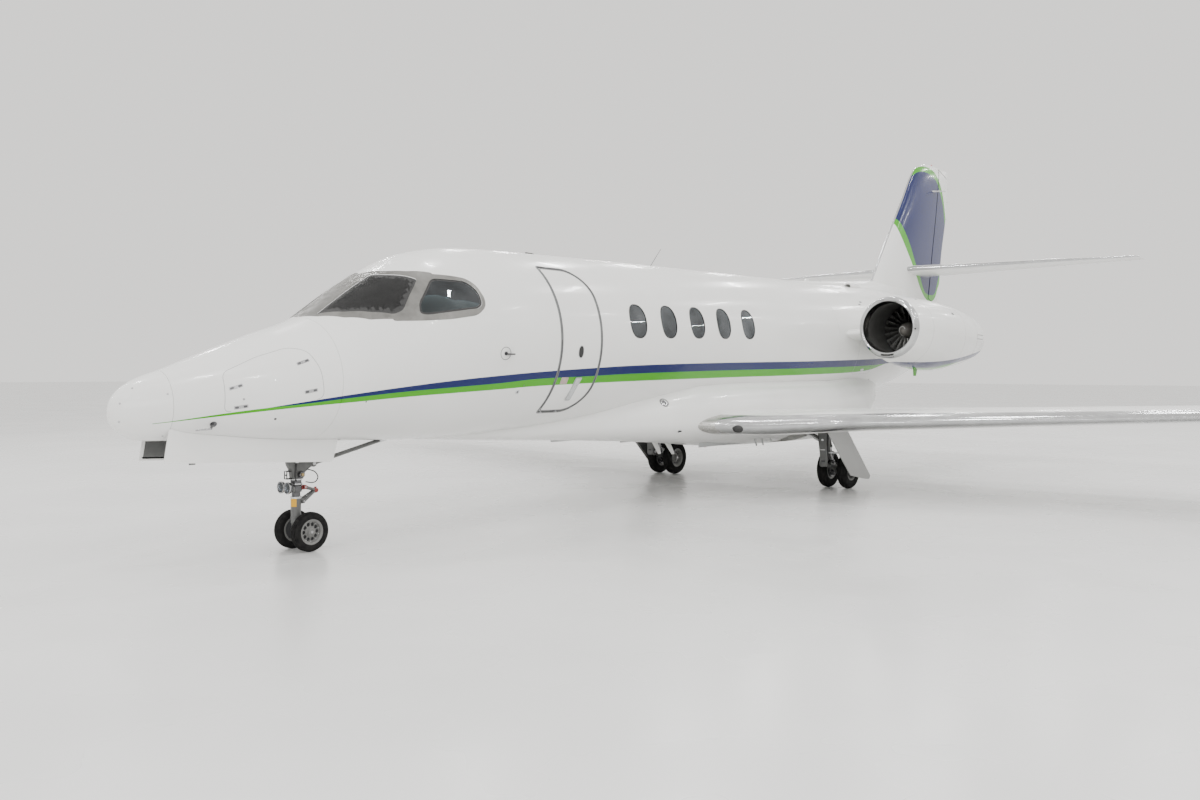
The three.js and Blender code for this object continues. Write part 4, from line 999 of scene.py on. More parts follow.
def make_windshield():
    frames = skin_shell(spread(1.75, 3.5, 60), -0.0025, 0.016, materials=[FRAME_METAL])
    fronts = [prism("front", [(side * x, y) for x, y in FRAME_FRONT], "z", 2.1, 3.0) for side, _ in SIDES]
    sides = [prism("side", FRAME_SIDE, "x", *sorted((side * 0.45, side * 1.2))) for side, _ in SIDES]
    within(frames, combine(fronts[0], [fronts[1], *sides], "UNION"))
    cut(frames, *[pane_prism(side, pane, -0.002) for side, _ in SIDES for pane, _ in PANES])
    piece(frames)
    frames.name = "windshield_frame"
    for side, tag in SIDES:
        for pane, title in PANES:
            glass = skin_shell(spread(1.8, 3.45, 56), 0.003, 0.009, materials=[WINDSHIELD])
            within(glass, pane_prism(side, pane, -0.0022))
            glass.name = f"{title}_glass_{tag}"
            piece(glass, stands_for=[f"{title}_{tag}"])
            border = skin_shell(spread(1.8, 3.45, 56), 0.0024, 0.0028, materials=[BLACK])
            within(border, pane_prism(side, pane, -0.0022))
            cut(border, pane_prism(side, pane, -0.022))
            border.name = f"{title}_border_{tag}"
            piece(border)


def make_cabin_windows(side, tag):
    """The panes of one side, each with a black seal outside and a trim ring inside."""
    first = WINDOW["first"] - (WINDOW["pitch"] if side < 0 else 0) - 0.3
    last = WINDOW["first"] + (WINDOW["count"] - 1) * WINDOW["pitch"] + 0.3
    glass = skin_shell(spread(first, last, 40), 0.004, 0.009, materials=[CABIN_GLASS])
    openings = window_prisms(side, -0.004)
    within(glass, combine(openings[0], openings[1:], "UNION"))
    glass.name = f"cabin_glass_{tag}"
    piece(glass, stands_for=[f"cabin_windows_{tag}"])
    rims = []
    for centre in window_centres(side):
        spots = [side_spot(side, y, z) for y, z in window_outline(centre, -0.002, -0.002)]
        rims.append(ribbon("rim", spots, 0.010, BLACK, 0.0012, True, 0.008))
        depth = WALL - 0.018
        spots = [side_spot(side, y, z, lift=-depth) for y, z in window_outline(centre, -0.03, -0.04)]
        rims.append(ribbon("inner", spots, 0.05, TRIM, 0.004, True, 0.012))
    piece(merged(f"cabin_window_rims_{tag}", rims))


# Entry door
SEAL_BAND = 0.011
KNUCKLE = {"x": 0.662, "z": 1.279, "radius": 0.0082, "half": 0.03, "stations": (4.53, 4.78)}
STEP = {"count": 4, "first": 0.26, "pitch": 0.33, "margin": 0.13, "grips": 5}


def make_door():
    edge, far = DOOR["inner"] + 0.004, 1.3
    stations = spread(4.3, 5.3, 24)
    flange = skin_shell(stations, 0.0, 0.025, 0, SKIN_LAYERS)
    within(flange, prism("edge", door_outline(DOOR["gap"]), "x", edge, far, (), 2))
    pan = skin_shell(stations, 0.02, WALL, 1, SKIN_LAYERS)
    within(pan, prism("pan", door_outline(0.06), "x", edge, far, (), 2))
    combine(flange, [pan], "UNION")
    flange.name = "entry_door_skin"
    piece(flange, "door", stands_for=["entry_door"])
    levels = [DOOR["low"] + STEP["first"] + k * STEP["pitch"] for k in range(STEP["count"])]
    steps = [part for level in levels for part in door_step(level)]
    x, z, half = KNUCKLE["x"], KNUCKLE["z"], KNUCKLE["half"]
    for station in KNUCKLE["stations"]:
        steps += [
            rod("knuckle", (x, station - half, z), (x, station + half, z), KNUCKLE["radius"], STEEL),
            rod("arm", (x, station, z), (x + 0.03, station, z + 0.05), 0.006, STEEL),
        ]
    piece(merged("entry_door_steps", steps), "door")
    make_door_marks()


def door_step(z):
    """A tread with ribs, between two brackets on the inside of the door."""
    middle = (DOOR["start"] + DOOR["end"]) / 2
    shell = math.sqrt((1.06 - WALL + 0.01) ** 2 - (z - centre_z(middle)) ** 2)
    start, end = DOOR["start"] + STEP["margin"], DOOR["end"] - STEP["margin"]
    parts = [block("step", (shell - 0.19, start, z), (shell + 0.015, end, z + 0.04), GREY_PAINT, 0.006)]
    low, high = (shell - 0.183, start + 0.02, z + 0.04), (shell - 0.02, end - 0.02, z + 0.043)
    parts.append(block("tread", low, high, BLACK, 0.001))
    for n in range(STEP["grips"]):
        low = (shell - 0.17 + 0.03 * n, start + 0.03, z + 0.043)
        high = (shell - 0.158 + 0.03 * n, end - 0.03, z + 0.046)
        parts.append(block("grip", low, high, DARK, 0.001))
    for y in (start - 0.006, end - 0.006):
        low, high = (shell - 0.16, y, z - 0.05), (shell + 0.02, y + 0.012, z + 0.05)
        parts.append(block("bracket", low, high, SATIN, 0.003))
    return parts


def door_ribbon(inset, lift, width, raised, depth):
    """A closed strip of seal along the door's edge."""
    spots = [side_spot(1, y, z, lift=lift) for y, z in dense(door_outline(inset), 0.02)]
    return ribbon("seal", spots, width, SEAL, raised, True, depth)


HANDLE_RECESS = rounded([
    (-0.05, -0.159), (0.038, -0.159), (0.06, 0.03), (0.075, 0.157), (-0.035, 0.157), (-0.04, 0.03),
], 0.02)
HANDLE_BAR = rounded([
    (-0.032, -0.14), (0.022, -0.14), (0.04, 0.02), (0.055, 0.14), (-0.018, 0.14), (-0.022, 0.02),
], 0.012)


def rounded_plate(wide, high, radius):
    """A rounded rectangle of twice a width and a height, round the origin."""
    return rounded([(-wide, -high), (wide, -high), (wide, high), (-wide, high)], radius)


def make_door_marks():
    """Grey edges on the frame and the door, a deep rubber lip between them, and the door's handle."""
    band, gap = SEAL_BAND, DOOR["gap"]
    frame_seal = [
        door_ribbon(-band / 2, 0.0, band, 0.0028, 0.006),
        door_ribbon(gap / 2, -0.008, 0.026, 0.0, 0.02),
    ]
    piece(merged("door_seal_frame", frame_seal))
    door_seal = door_ribbon(gap + band / 2, 0.0, band, 0.0028, 0.006)
    door_seal.name = "door_seal_edge"
    piece(door_seal, "door")
    port, handle, lock = side_spot(1, 4.805, 1.977), side_spot(1, 4.835, 1.55), side_spot(1, 4.623, 1.648)
    button = superellipse((0.01, -0.01), 0.012, 0.012, 2, 20)
    plates = [
        plate("port_rim", port, superellipse((0, 0), 0.046, 0.074, 2.2, 40), -0.004, 0.0012, SATIN),
        plate("port", port, superellipse((0, 0), 0.04, 0.067, 2.2, 40), -0.004, 0.0018, BLACK),
        plate("recess", handle, HANDLE_RECESS, -0.003, 0.001, GREY_PAINT),
        plate("handle", handle, HANDLE_BAR, 0.001, 0.006, SATIN, 0.002),
        plate("lock_cover", lock, rounded_plate(0.06, 0.042, 0.012), -0.003, 0.0012, PLATE_PINK),
        plate("button", handle, button, 0.001, 0.004, DARK_METAL, 0.001),
    ]
    piece(merged("entry_door_handle", plates), "door")


# Inside the cabin


def make_seat(x, station, floor, facing, width, cover, frame_material):
    """A seat. Its parts' y runs backwards from the sitter."""
    half = width / 2

    def pad(label, xs, ys, zs, material, crown):
        depths = sorted(station - facing * y for y in ys)
        zs = (floor + zs[0], floor + zs[1])
        return mirrored_block(label, xs, depths, zs, material, min(crown, (zs[1] - zs[0]) * 0.4))

    parts = [
        pad("base", (x - half * 0.5, x + half * 0.5), (-0.18, 0.18), (0.01, 0.27), frame_material, 0.01),
        pad("cushion", (x - half, x + half), (-0.29, 0.26), (0.27, 0.44), cover, 0.05),
        pad("back", (x - half, x + half), (0.24, 0.375), (0.3, 0.99), cover, 0.05),
        pad("head", (x - half * 0.6, x + half * 0.6), (0.25, 0.365), (0.985, 1.14), cover, 0.04),
    ]
    for sign in (1, -1):
        edge = x + sign * (half - 0.03)
        ends = (edge - sign * 0.035, edge + sign * 0.028)
        parts.append(pad("arm", ends, (-0.2, 0.24), (0.44, 0.6), frame_material, 0.02))
    return parts


CREW_STATION = 3.01
# Each row of cabin seats: its station and whether it faces forwards (1) or back (-1)
SEAT_ROWS = ((6.15, -1), (7.42, 1), (8.33, -1), (9.6, 1))
CARPET_ENDS = (3.4, 10.9)


def make_cabin():
    crew = [
        part for x in (-0.39, 0.39)
        for part in make_seat(x, CREW_STATION, COCKPIT["floor"], 1, 0.48, DARK_LEATHER, PANEL_GREY)
    ]
    piece(merged("crew_seats", crew), stands_for=["cockpit_seats"])
    seats = [
        part for y, facing in SEAT_ROWS for x in (-0.5, 0.5)
        for part in make_seat(x, y, floor_at(y), facing, 0.52, SEAT_LEATHER, TRIM)
    ]
    start, end = CARPET_ENDS
    corners = ((start, 0.006), (end, 0.006), (end, 0.03), (start, 0.03))
    outline = [(y, floor_at(y) + rise) for y, rise in corners]
    hollow = body("space", SKIN, spread(3.3, 11.0, 40), WALL + 0.004)
    seats.append(within(prism("carpet", outline, "x", -0.9, 0.9, [CARPET]), hollow))
    piece(merged("cabin_seating", seats), stands_for=["cabin_seats"])
    make_instrument_panel()


def make_instrument_panel():
    """The panel with its shield and pedestal, three screens, two yokes and two levers."""
    panel = block("panel", (-0.76, 1.99, 1.503), (0.76, 2.33, 2.13), PANEL_GREY, 0.02)
    shield = block("shield", (-0.76, 1.985, 2.115), (0.76, 2.48, 2.165), PANEL_GREY, 0.015)
    pedestal = block("pedestal", (-0.13, 2.3, 1.503), (0.13, 2.77, 1.83), PANEL_GREY, 0.02)
    combine(panel, [shield, pedestal], "UNION")
    parts = [within(panel, body("space", SKIN, spread(1.99, 2.9, 20), WALL + 0.003))]
    for x in (-0.52, 0.0, 0.52):
        parts.append(block("screen", (x - 0.17, 2.33, 1.86), (x + 0.17, 2.336, 2.09), SCREEN, 0.002))
    for x in (-0.39, 0.39):
        parts.append(rod("column", (x, 2.34, 1.7), (x, 2.52, 1.78), 0.016, DARK_METAL))
        grip = [(-0.13, 1.87), (-0.12, 1.79), (-0.04, 1.76), (0.04, 1.76), (0.12, 1.79), (0.13, 1.87)]
        parts.append(tube("yoke", [(x + dx, 2.53, z) for dx, z in grip], 0.014, BLACK))
    for x in (-0.03, 0.03):
        parts.append(rod("lever", (x, 2.52, 1.82), (x, 2.5, 1.93), 0.008, SATIN))
    piece(merged("instrument_desk", parts), stands_for=["instrument_panel"])


# Wings and tail
FOIL_POINTS = 26


def half_thickness(thickness, x):
    shape = 0.2969 * math.sqrt(x) - 0.126 * x - 0.3516 * x * x + 0.2843 * x ** 3 - 0.1 * x ** 4
    return 5 * thickness * shape


def aerofoil(thickness, camber=0.0, points=FOIL_POINTS):
    """Round an aerofoil, from the trailing edge over the top and back underneath."""
    upper, lower = [], []
    for i in range(points + 1):
        x = 0.5 * (1 + math.cos(math.pi * i / points))
        half = half_thickness(thickness, x)
        line = camber * 4 * x * (1 - x)
        upper.append((x, line + half))
        if i < points:
            lower.insert(0, (x, line - half))
    return upper + lower


def foil_ring(x, lead, z, trail, thickness, camber=0.0, points=FOIL_POINTS):
    """A level aerofoil section at x, between two stations."""
    chord = trail - lead
    return [(x, lead + u * chord, z + v * chord) for u, v in aerofoil(thickness, camber, points)]


def edge_painted(reach):
    """Material 1 for the faces within a few steps of the leading edge."""
    return lambda k, i: 1 if FOIL_POINTS - reach <= i < FOIL_POINTS + reach else 0


def wing_point(x, part, level=0):
    """A point of the wing at a part of its chord, and half the wing's depth there."""
    lead, z, trail, thickness, camber = WING.at(x)
    chord = trail - lead
    half = half_thickness(thickness, part)
    height = z + (camber * 4 * part * (1 - part) + level * half) * chord
    return Vector((x, lead + part * chord, height)), half * chord


FLAP = {"inner": 1.42, "outer": 6.55, "part": 0.76, "opens": 35}
AILERON = {"inner": 6.7, "outer": 10.5, "part": 0.77}
NOSE_FILL = 0.93
END_GAP = 0.014
SURFACE_REACH = {"aft": 2.5, "up": 0.5, "down": 0.5}


def slab(start, end, normal, fores, aft, up, down, over=0.0):
    """A box along a line. It reaches ahead of the line's ends by two distances, and behind, up and down."""
    start, end = Vector(start), Vector(end)
    along = (end - start).normalized()
    lift = Vector(normal)
    lift = (lift - along * lift.dot(along)).normalized()
    back = lift.cross(along)
    if back.y < 0:
        back = -back
    corners = [
        point + back * v + lift * w
        for point, fore in ((start - along * over, fores[0]), (end + along * over, fores[1]))
        for v in (-fore, aft) for w in (-down, up)
    ]
    return solid("slab", corners, BOX_FACES, [DARK], [0] * 6)


def hinged(host, start, end, noses, normal, material, name):
    """Splits a surface with a round nose from its host, along a hinge line."""
    surface = copied(host, name)
    within(surface, slab(start, end, normal, (0, 0), **SURFACE_REACH))
    nose = rod("nose", start, end, noses[0], material, noses[1], 32)
    combine(surface, [nose], "UNION")
    cut(host, slab(start, end, normal, [nose + GAP for nose in noses], **SURFACE_REACH, over=END_GAP))
    return surface


def make_wings():
    tip = [10.85, 10.9, 10.94, 10.97, 10.99, 11.005, 11.018, 11.025]
    spans = [*spread(0.9, 2.4, 22), *spread(2.55, 10.8, 30), *tip]
    root = sum(x < 1.2 for x in spans)
    edge = edge_painted(5)
    wing = loft("wing", [foil_ring(x, *WING.at(x)) for x in spans], [WHITE_PAINT, POLISHED, DARK, CUFF_METAL],
                lambda k, i: edge(k, i) if k >= root else 3 * edge(k, i))
    cut(wing, body("hull", SKIN, spread(6.0, 12.5, 40), -0.0005))
    cut(wing, body("belly", FAIRING, spread(6.0, 12.9, 50), -0.0005, FAIRING_POWER))
    ends = [wing_point(AILERON[key], AILERON["part"]) for key in ("inner", "outer")]
    start, end = (point for point, _ in ends)
    noses = [half * NOSE_FILL for _, half in ends]
    aileron = hinged(wing, start, end, noses, (0, 0, 1), WHITE_PAINT, "aileron")
    start, end = (wing_point(FLAP[key], FLAP["part"], -1)[0] for key in ("inner", "outer"))
    flap = within(copied(wing, "flap"), slab(start, end, (0, 0, 1), (0, 0), **SURFACE_REACH))
    angle = math.radians(FLAP["opens"])
    within(flap, slab(start, end, (0, -math.sin(angle), math.cos(angle)), (0, 0), 2.5, 0.5, 2.5))
    cut(wing, slab(start, end, (0, 0, 1), (GAP, GAP), **SURFACE_REACH, over=END_GAP))
    cut(wing, bay_block(1, LEG_BAY), bay_block(1, WHEEL_BAY))
    twins(wing, "wing_skin", "wing")
    twins(aileron, "aileron_skin", "aileron", "aileron_surface")
    twins(flap, "flap_skin", "flap", "flap_surface")


# Columns: z, leading station, trailing station, thickness
FIN = Table([
    (3.25, 14.52, 18.24, 0.075), (3.57, 14.8, 18.36, 0.08), (4.45, 15.5, 18.53, 0.085),
    (5.39, 16.29, 18.8, 0.09), (6.06, 16.84, 18.87, 0.09), (6.22, 17.06, 18.878, 0.08),
    (6.32, 17.38, 18.885, 0.06), (6.38, 17.8, 18.89, 0.045),
])
# Columns: x, leading station, z, trailing station, thickness
STABILISER = Table([
    (0.0, 16.19, 3.935, 18.16, 0.1), (3.85, 18.12, 4.092, 18.925, 0.09), (4.03, 18.23, 4.099, 18.97, 0.07),
    (4.08, 18.4, 4.1, 18.945, 0.03),
])
RUDDER_HINGE = ((0, 17.64, 3.4), (0, 18.29, 6.34))
ELEVATOR = {"inner": 0.33, "outer": 4.0, "part": 0.74, "notch": 0.06}
# The bullet between the fin and the stabiliser: radius and distance along
BULLET = [
    (0.0, 0.0), (0.03, 0.006), (0.06, 0.04), (0.1, 0.16), (0.135, 0.42), (0.15, 0.8), (0.15, 1.2),
    (0.13, 1.6), (0.1, 1.98),
]


def fin_ring(z):
    lead, trail, thickness = FIN.at(z)
    chord = trail - lead
    return [(v * chord, lead + u * chord, z) for u, v in aerofoil(thickness)]


def fin_half(y, z):
    lead, trail, thickness = FIN.at(z)
    chord = trail - lead
    return half_thickness(thickness, (y - lead) / chord) * chord


def tail_point(x):
    """A point of the elevator's hinge line, and half the stabiliser's depth there."""
    lead, z, trail, thickness = STABILISER.at(x)
    chord = trail - lead
    part = ELEVATOR["part"]
    return Vector((x, lead + part * chord, z)), half_thickness(thickness, part) * chord


def make_stabiliser():
    half = [*spread(0.0, 3.8, 24), 3.85, 3.9, 3.95, 4.0, 4.03, 4.05, 4.065, 4.08]
    spans = [-x for x in reversed(half)] + half[1:]
    rings = [foil_ring(x, *STABILISER.at(abs(x))) for x in spans]
    tailplane = loft("stabiliser_skin", rings, [WHITE_PAINT, POLISHED, DARK], edge_painted(3))
    inner, notch = ELEVATOR["inner"], ELEVATOR["notch"]
    start = tail_point(inner)[0].y
    ends = [tail_point(x) for x in (inner, ELEVATOR["outer"])]
    noses = [half_depth * NOSE_FILL for _, half_depth in ends]
    for side, tag in SIDES:
        line = [Vector((side * p.x, p.y, p.z)) for p, _ in ends]
        elevator = hinged(tailplane, *line, noses, (0, 0, 1), WHITE_PAINT, f"elevator_skin_{tag}")
        cut(elevator, block("gap", (-inner, start + notch, 3.5), (inner, 19.5, 4.5), DARK, 0))
        piece(elevator, f"elevator_surface_{tag}", stands_for=[f"elevator_{tag}"])
    cut(tailplane, block("gap", (-inner - notch, start - notch, 3.5), (inner + notch, 19.5, 4.5), DARK, 0))
    piece(tailplane, stands_for=["stabilizer"])


def make_fin():
    levels = [*spread(3.25, 6.0, 40), 6.06, 6.12, 6.17, 6.22, 6.25, 6.28, 6.3, 6.32, 6.34, 6.36, 6.372, 6.38]
    fin = loft("fin_skin", [fin_ring(z) for z in levels], [FIN_PAINT, POLISHED, DARK], edge_painted(1))
    noses = [fin_half(y, z) * NOSE_FILL for _, y, z in RUDDER_HINGE]
    rudder = hinged(fin, *RUDDER_HINGE, noses, (1, 0, 0), FIN_PAINT, "rudder_skin")
    piece(rudder, "rudder_surface", stands_for=["rudder"])
    fairing = lathe("bullet", BULLET, (0, 15.78, 3.935), (0, 1, 0), WHITE_PAINT)
    cut(fairing, block("behind", (-0.4, 17.655, 3.3), (0.4, 19.5, 4.6), DARK, 0))
    combine(fin, [fairing], "UNION")
    cut(fin, body("hull", SKIN, spread(14.0, 18.6, 40), 0.001))
    piece(fin, stands_for=["fin"])


# Engines
ENGINE = {"x": 1.8, "z": 2.49, "slope": -0.026, "start": 11.44, "fan": 12.35, "reverser": 14.2, "end": 15.15}
# Columns: station, side radius, top radius, bottom radius
COWL = Table([
    (11.44, 0.44, 0.44, 0.44), (11.465, 0.475, 0.475, 0.477), (11.53, 0.497, 0.497, 0.502),
    (11.7, 0.522, 0.52, 0.54), (12.1, 0.56, 0.545, 0.61), (12.7, 0.585, 0.55, 0.655),
    (13.3, 0.578, 0.535, 0.645), (13.9, 0.54, 0.505, 0.575), (14.2, 0.508, 0.48, 0.535),
    (14.5, 0.47, 0.448, 0.488), (14.85, 0.405, 0.395, 0.412), (15.15, 0.33, 0.325, 0.33),
])
DUCT = Table([
    (11.439, 0.44), (11.465, 0.412), (11.62, 0.4), (11.9, 0.412), (12.25, 0.435), (14.2, 0.435),
    (14.7, 0.375), (15.151, 0.305),
])
LIP_OUTER, LIP_INNER = 11.555, 11.63
PIVOT = {
    "station": 14.8, "offset": 0.018, "pin": 0.006, "lug": 0.015, "beam": 0.032, "behind": 0.008,
    "gap": 0.008, "opens": 43, "margin": 3, "reach": (0.326, 0.404),
}
COWL_SIDES = 80
AFT = (0, 1, 0)


def engine_z(station):
    return ENGINE["z"] + ENGINE["slope"] * (station - ENGINE["start"])


def cowl_point(station, angle, grow=0.0):
    side, top, bottom = COWL.at(station)
    reach = (top if math.sin(angle) > 0 else bottom) + grow
    return ENGINE["x"] + (side + grow) * math.cos(angle), station, engine_z(station) + reach * math.sin(angle)


def cowl_ring(station, grow=0.0):
    return [cowl_point(station, angle, grow) for angle in turns(COWL_SIDES)]


def duct_ring(station):
    radius = DUCT.at(station)[0]
    x, z = ENGINE["x"], engine_z(station)
    return [(x + radius * math.cos(a), station, z + radius * math.sin(a)) for a in turns(COWL_SIDES)]


def hollow_cowl():
    layers = [COWL_PAINT, POLISHED, LINER, DARK]
    lip = [ENGINE["start"] + 0.09 * t * t for t in spread(0, 1, 7)]
    outer = [*lip, *spread(ENGINE["start"] + 0.115, LIP_OUTER, 2), *spread(11.6, ENGINE["end"], 60)]
    edge = next(k for k, s in enumerate(outer) if s >= LIP_OUTER)
    shell = loft("cowl", [cowl_ring(s) for s in outer], layers, lambda k, i: 1 if k < edge else 0)
    throat = [11.439, 11.4405, 11.443, 11.448, 11.455, 11.465, 11.49, 11.53, 11.58, LIP_INNER]
    inner = [*throat, *spread(11.68, 15.151, 50)]
    rim = inner.index(LIP_INNER)
    return cut(shell, loft("duct", [duct_ring(s) for s in inner], layers, lambda k, i: 1 if k < rim else 2))


def pivot_z():
    return engine_z(PIVOT["station"])


def side_beams(shell):
    """The two beams behind the nacelle that carry the buckets' pins."""
    beams = copied(shell, "beams")
    station, z, depth = PIVOT["station"], pivot_z(), PIVOT["beam"]
    low = (0, ENGINE["reverser"] - 0.03, z - depth)
    within(beams, block("beam", low, (3, station + PIVOT["behind"], z + depth), DARK, 0))
    parts = [beams]
    for side in (1, -1):
        for level in (1, -1):
            height = z + level * PIVOT["offset"]
            ends = [(ENGINE["x"] + side * reach, station, height) for reach in PIVOT["reach"]]
            parts.append(rod("pin", *ends, PIVOT["pin"], STEEL, sides=16))
    return parts


def bucket(shell, level):
    slope = math.tan(math.radians(PIVOT["opens"] + PIVOT["margin"]))
    edge, far = PIVOT["beam"] + PIVOT["gap"], 0.7
    station, z, offset = PIVOT["station"], pivot_z(), PIVOT["offset"]
    start = ENGINE["reverser"] + GAP
    outline = [
        (start, z + level * edge), (station + (edge - offset) / slope, z + level * edge),
        (station + far / slope, z + level * (offset + far)), (start, z + level * (offset + far)),
    ]
    parts = [within(copied(shell, "bucket"), prism("side", outline, "x", 0.0, 3.0, (), 3))]
    foot, head = z + level * offset, z + level * (edge + 0.105)
    for side in (1, -1):
        near, out = ENGINE["x"] + side * 0.33, ENGINE["x"] + side * 0.343
        depths, heights = (station - 0.012, station + 0.012), sorted((foot, head))
        parts.append(mirrored_block("arm", (near, out), depths, heights, SATIN, 0.002))
        parts.append(rod("eye", (near, station, foot), (out, station, foot), PIVOT["lug"], SATIN))
    return parts


FAN = {"blades": 22, "tip": 0.418, "root": 0.128, "chord": 0.135}
# The spinner and the drum behind it: radius and distance along
SPINNER_CONE = [
    (0.0, 0.0), (0.02, 0.002), (0.045, 0.012), (0.07, 0.033), (0.093, 0.063), (0.112, 0.105), (0.124, 0.15),
    (0.13, 0.19),
]
FAN_DRUM = [(0.13, 0.191), (0.135, 0.2), (0.135, 0.33), (0.06, 0.331), (0.06, 0.42)]


def fan_blade(turn, hub):
    """One twisted blade, from its root to its tip."""
    rings = []
    for part in spread(0, 1, 7):
        radius = FAN["root"] - 0.01 + (FAN["tip"] - FAN["root"] + 0.01) * part
        stagger = math.radians(38 + 26 * part)
        chord = FAN["chord"] * (0.85 + 0.3 * part)
        ring = []
        for u, v in aerofoil(0.06, 0.05, 8):
            along, across = (u - 0.5) * chord, v * chord
            back = along * math.cos(stagger) - across * math.sin(stagger)
            swing = (along * math.sin(stagger) + across * math.cos(stagger)) / radius + turn
            ring.append(hub + Vector((radius * math.cos(swing), back, radius * math.sin(swing))))
        rings.append(ring)
    return loft("blade", rings, [FAN_METAL])


def make_fan(side, tag):
    """The blades, the spinner and the white spiral that is painted on it."""
    station = ENGINE["fan"]
    hub = Vector((side * ENGINE["x"], station, engine_z(station)))
    start = hub - Vector((0, 0.255, 0))
    swirl = [
        start + Vector((math.cos(a) * r, y, math.sin(a) * r))
        for a, r, y in ((4.4 * t, 0.022 + 0.083 * t, 0.0015 + 0.09 * t * t) for t in spread(0.1, 1, 20))
    ]
    parts = [
        *[fan_blade(turn, hub) for turn in turns(FAN["blades"])],
        lathe("spinner", SPINNER_CONE, start, AFT, SPINNER, 64),
        lathe("drum", FAN_DRUM, start, AFT, DARK_METAL, 64),
        tube("mark", swirl, 0.005, WHITE_PAINT, 8),
    ]
    rotor = f"fan_rotor_{tag}"
    piece(merged(rotor, parts), rotor, stands_for=[f"fan_{tag}"])


# The core: station and radius of its casing, and the exhaust cone's radius and distance along
CASING = [(12.52, 0.21), (12.8, 0.27), (13.3, 0.33), (13.8, 0.315), (14.05, 0.3)]
EXHAUST_CONE = [(0.2, 0), (0.19, 0.15), (0.14, 0.42), (0.06, 0.62), (0.012, 0.7), (0.0, 0.705)]
LOBES = {"count": 12, "start": 13.3, "growth": 0.04}
VANES = {"count": 34, "station": 12.52, "radii": (0.2, 0.433)}


def make_core(side, tag):
    """The vanes behind the fan, a dark ring of painted shade behind them, the core's casing with its lobed
    mixer, and the exhaust cone.
    """
    x = side * ENGINE["x"]

    def ring(station, radius):
        z, lobes = engine_z(station), max(0.0, (station - LOBES["start"]) * LOBES["growth"])
        reaches = [(a, radius + lobes * math.cos(LOBES["count"] * a)) for a in turns(96)]
        return [(x + reach * math.cos(a), station, z + reach * math.sin(a)) for a, reach in reaches]

    outside = [ring(s, r) for s, r in CASING]
    inside = [ring(s, r - 0.006) for s, r in reversed(CASING[2:])]
    back_wall = [(x + 0.05 * math.cos(a), 13.35, engine_z(13.35) + 0.05 * math.sin(a)) for a in turns(96)]
    # A dark ring across the duct behind the vanes: painted shade deep in the engine
    shade_ring_profile = [(0.434, 0), (0.434, 0.03), (0.2, 0.03), (0.2, 0)]
    parts = [
        loft("casing", [*outside, *inside, back_wall], [BURNT]),
        lathe("cone", EXHAUST_CONE, (x, 13.75, engine_z(13.75)), (0, 1, ENGINE["slope"]), BURNT),
        lathe("plate", shade_ring_profile, (x, 12.7, engine_z(12.7)), AFT, DARK),
    ]
    centre = Vector((x, VANES["station"], engine_z(VANES["station"])))
    for angle in turns(VANES["count"]):
        outward = Vector((math.cos(angle), 0, math.sin(angle)))
        across = Vector((-math.sin(angle), 0, math.cos(angle)))
        rings = [
            [centre + outward * r + across * v * 0.09 + Vector((0, u * 0.16, 0)) + across * (u - 0.5) * 0.03
             for u, v in aerofoil(0.1, 0.04, 6)]
            for r in VANES["radii"]
        ]
        parts.append(loft("vane", rings, [SATIN]))
    piece(merged(f"engine_core_{tag}", parts), stands_for=[f"engine_{tag}"])


# Columns: x, leading station, z, trailing station, thickness
PYLON = ((0.88, 11.48, 2.4, 14.6, 0.075), (1.4, 11.64, 2.4, 13.95, 0.085))


def make_nacelles():
    shell = hollow_cowl()
    front = block("front", (0.8, 0, 1.4), (2.8, ENGINE["reverser"], 3.4), DARK, 0)
    nacelle = [within(copied(shell, "nacelle"), front), *side_beams(shell), *nacelle_details()]
    twins(merged("nacelle", nacelle), "nacelle_shell", "nacelle")
    for level, part in ((1, "upper"), (-1, "lower")):
        half = merged("bucket", bucket(shell, level))
        twins(half, f"bucket_{part}", f"reverser_{part}", f"bucket_{part}")
    discard(shell)
    pylon = loft("pylon", [foil_ring(*row) for row in PYLON], [WHITE_PAINT])
    core = loft("core", [cowl_ring(s, -0.002) for s in spread(11.6, 14.3, 30)])
    cut(pylon, core, body("hull", SKIN, spread(11.0, 15.0, 30), 0.001))
    twins(merged("pylon", [pylon]), "pylon_skin", "pylon")
    both(make_fan)
    both(make_core)


def cowl_spot(station, angle):
    """A place on the port nacelle. The angle is in degrees from its outer side, upwards."""
    turn, step = math.radians(angle), 0.005
    here = Vector(cowl_point(station, turn))
    along = Vector(cowl_point(station + step, turn)) - Vector(cowl_point(station - step, turn))
    round_it = Vector(cowl_point(station, turn + step)) - Vector(cowl_point(station, turn - step))
    normal = round_it.cross(along).normalized()
    if normal.dot(here - Vector((ENGINE["x"], station, engine_z(station)))) < 0:
        normal = -normal
    return Spot(here, normal)


def cowl_line(places, width=0.004, material=SEAM):
    return ribbon("joint", [cowl_spot(s, a) for s, a in places], width, material)


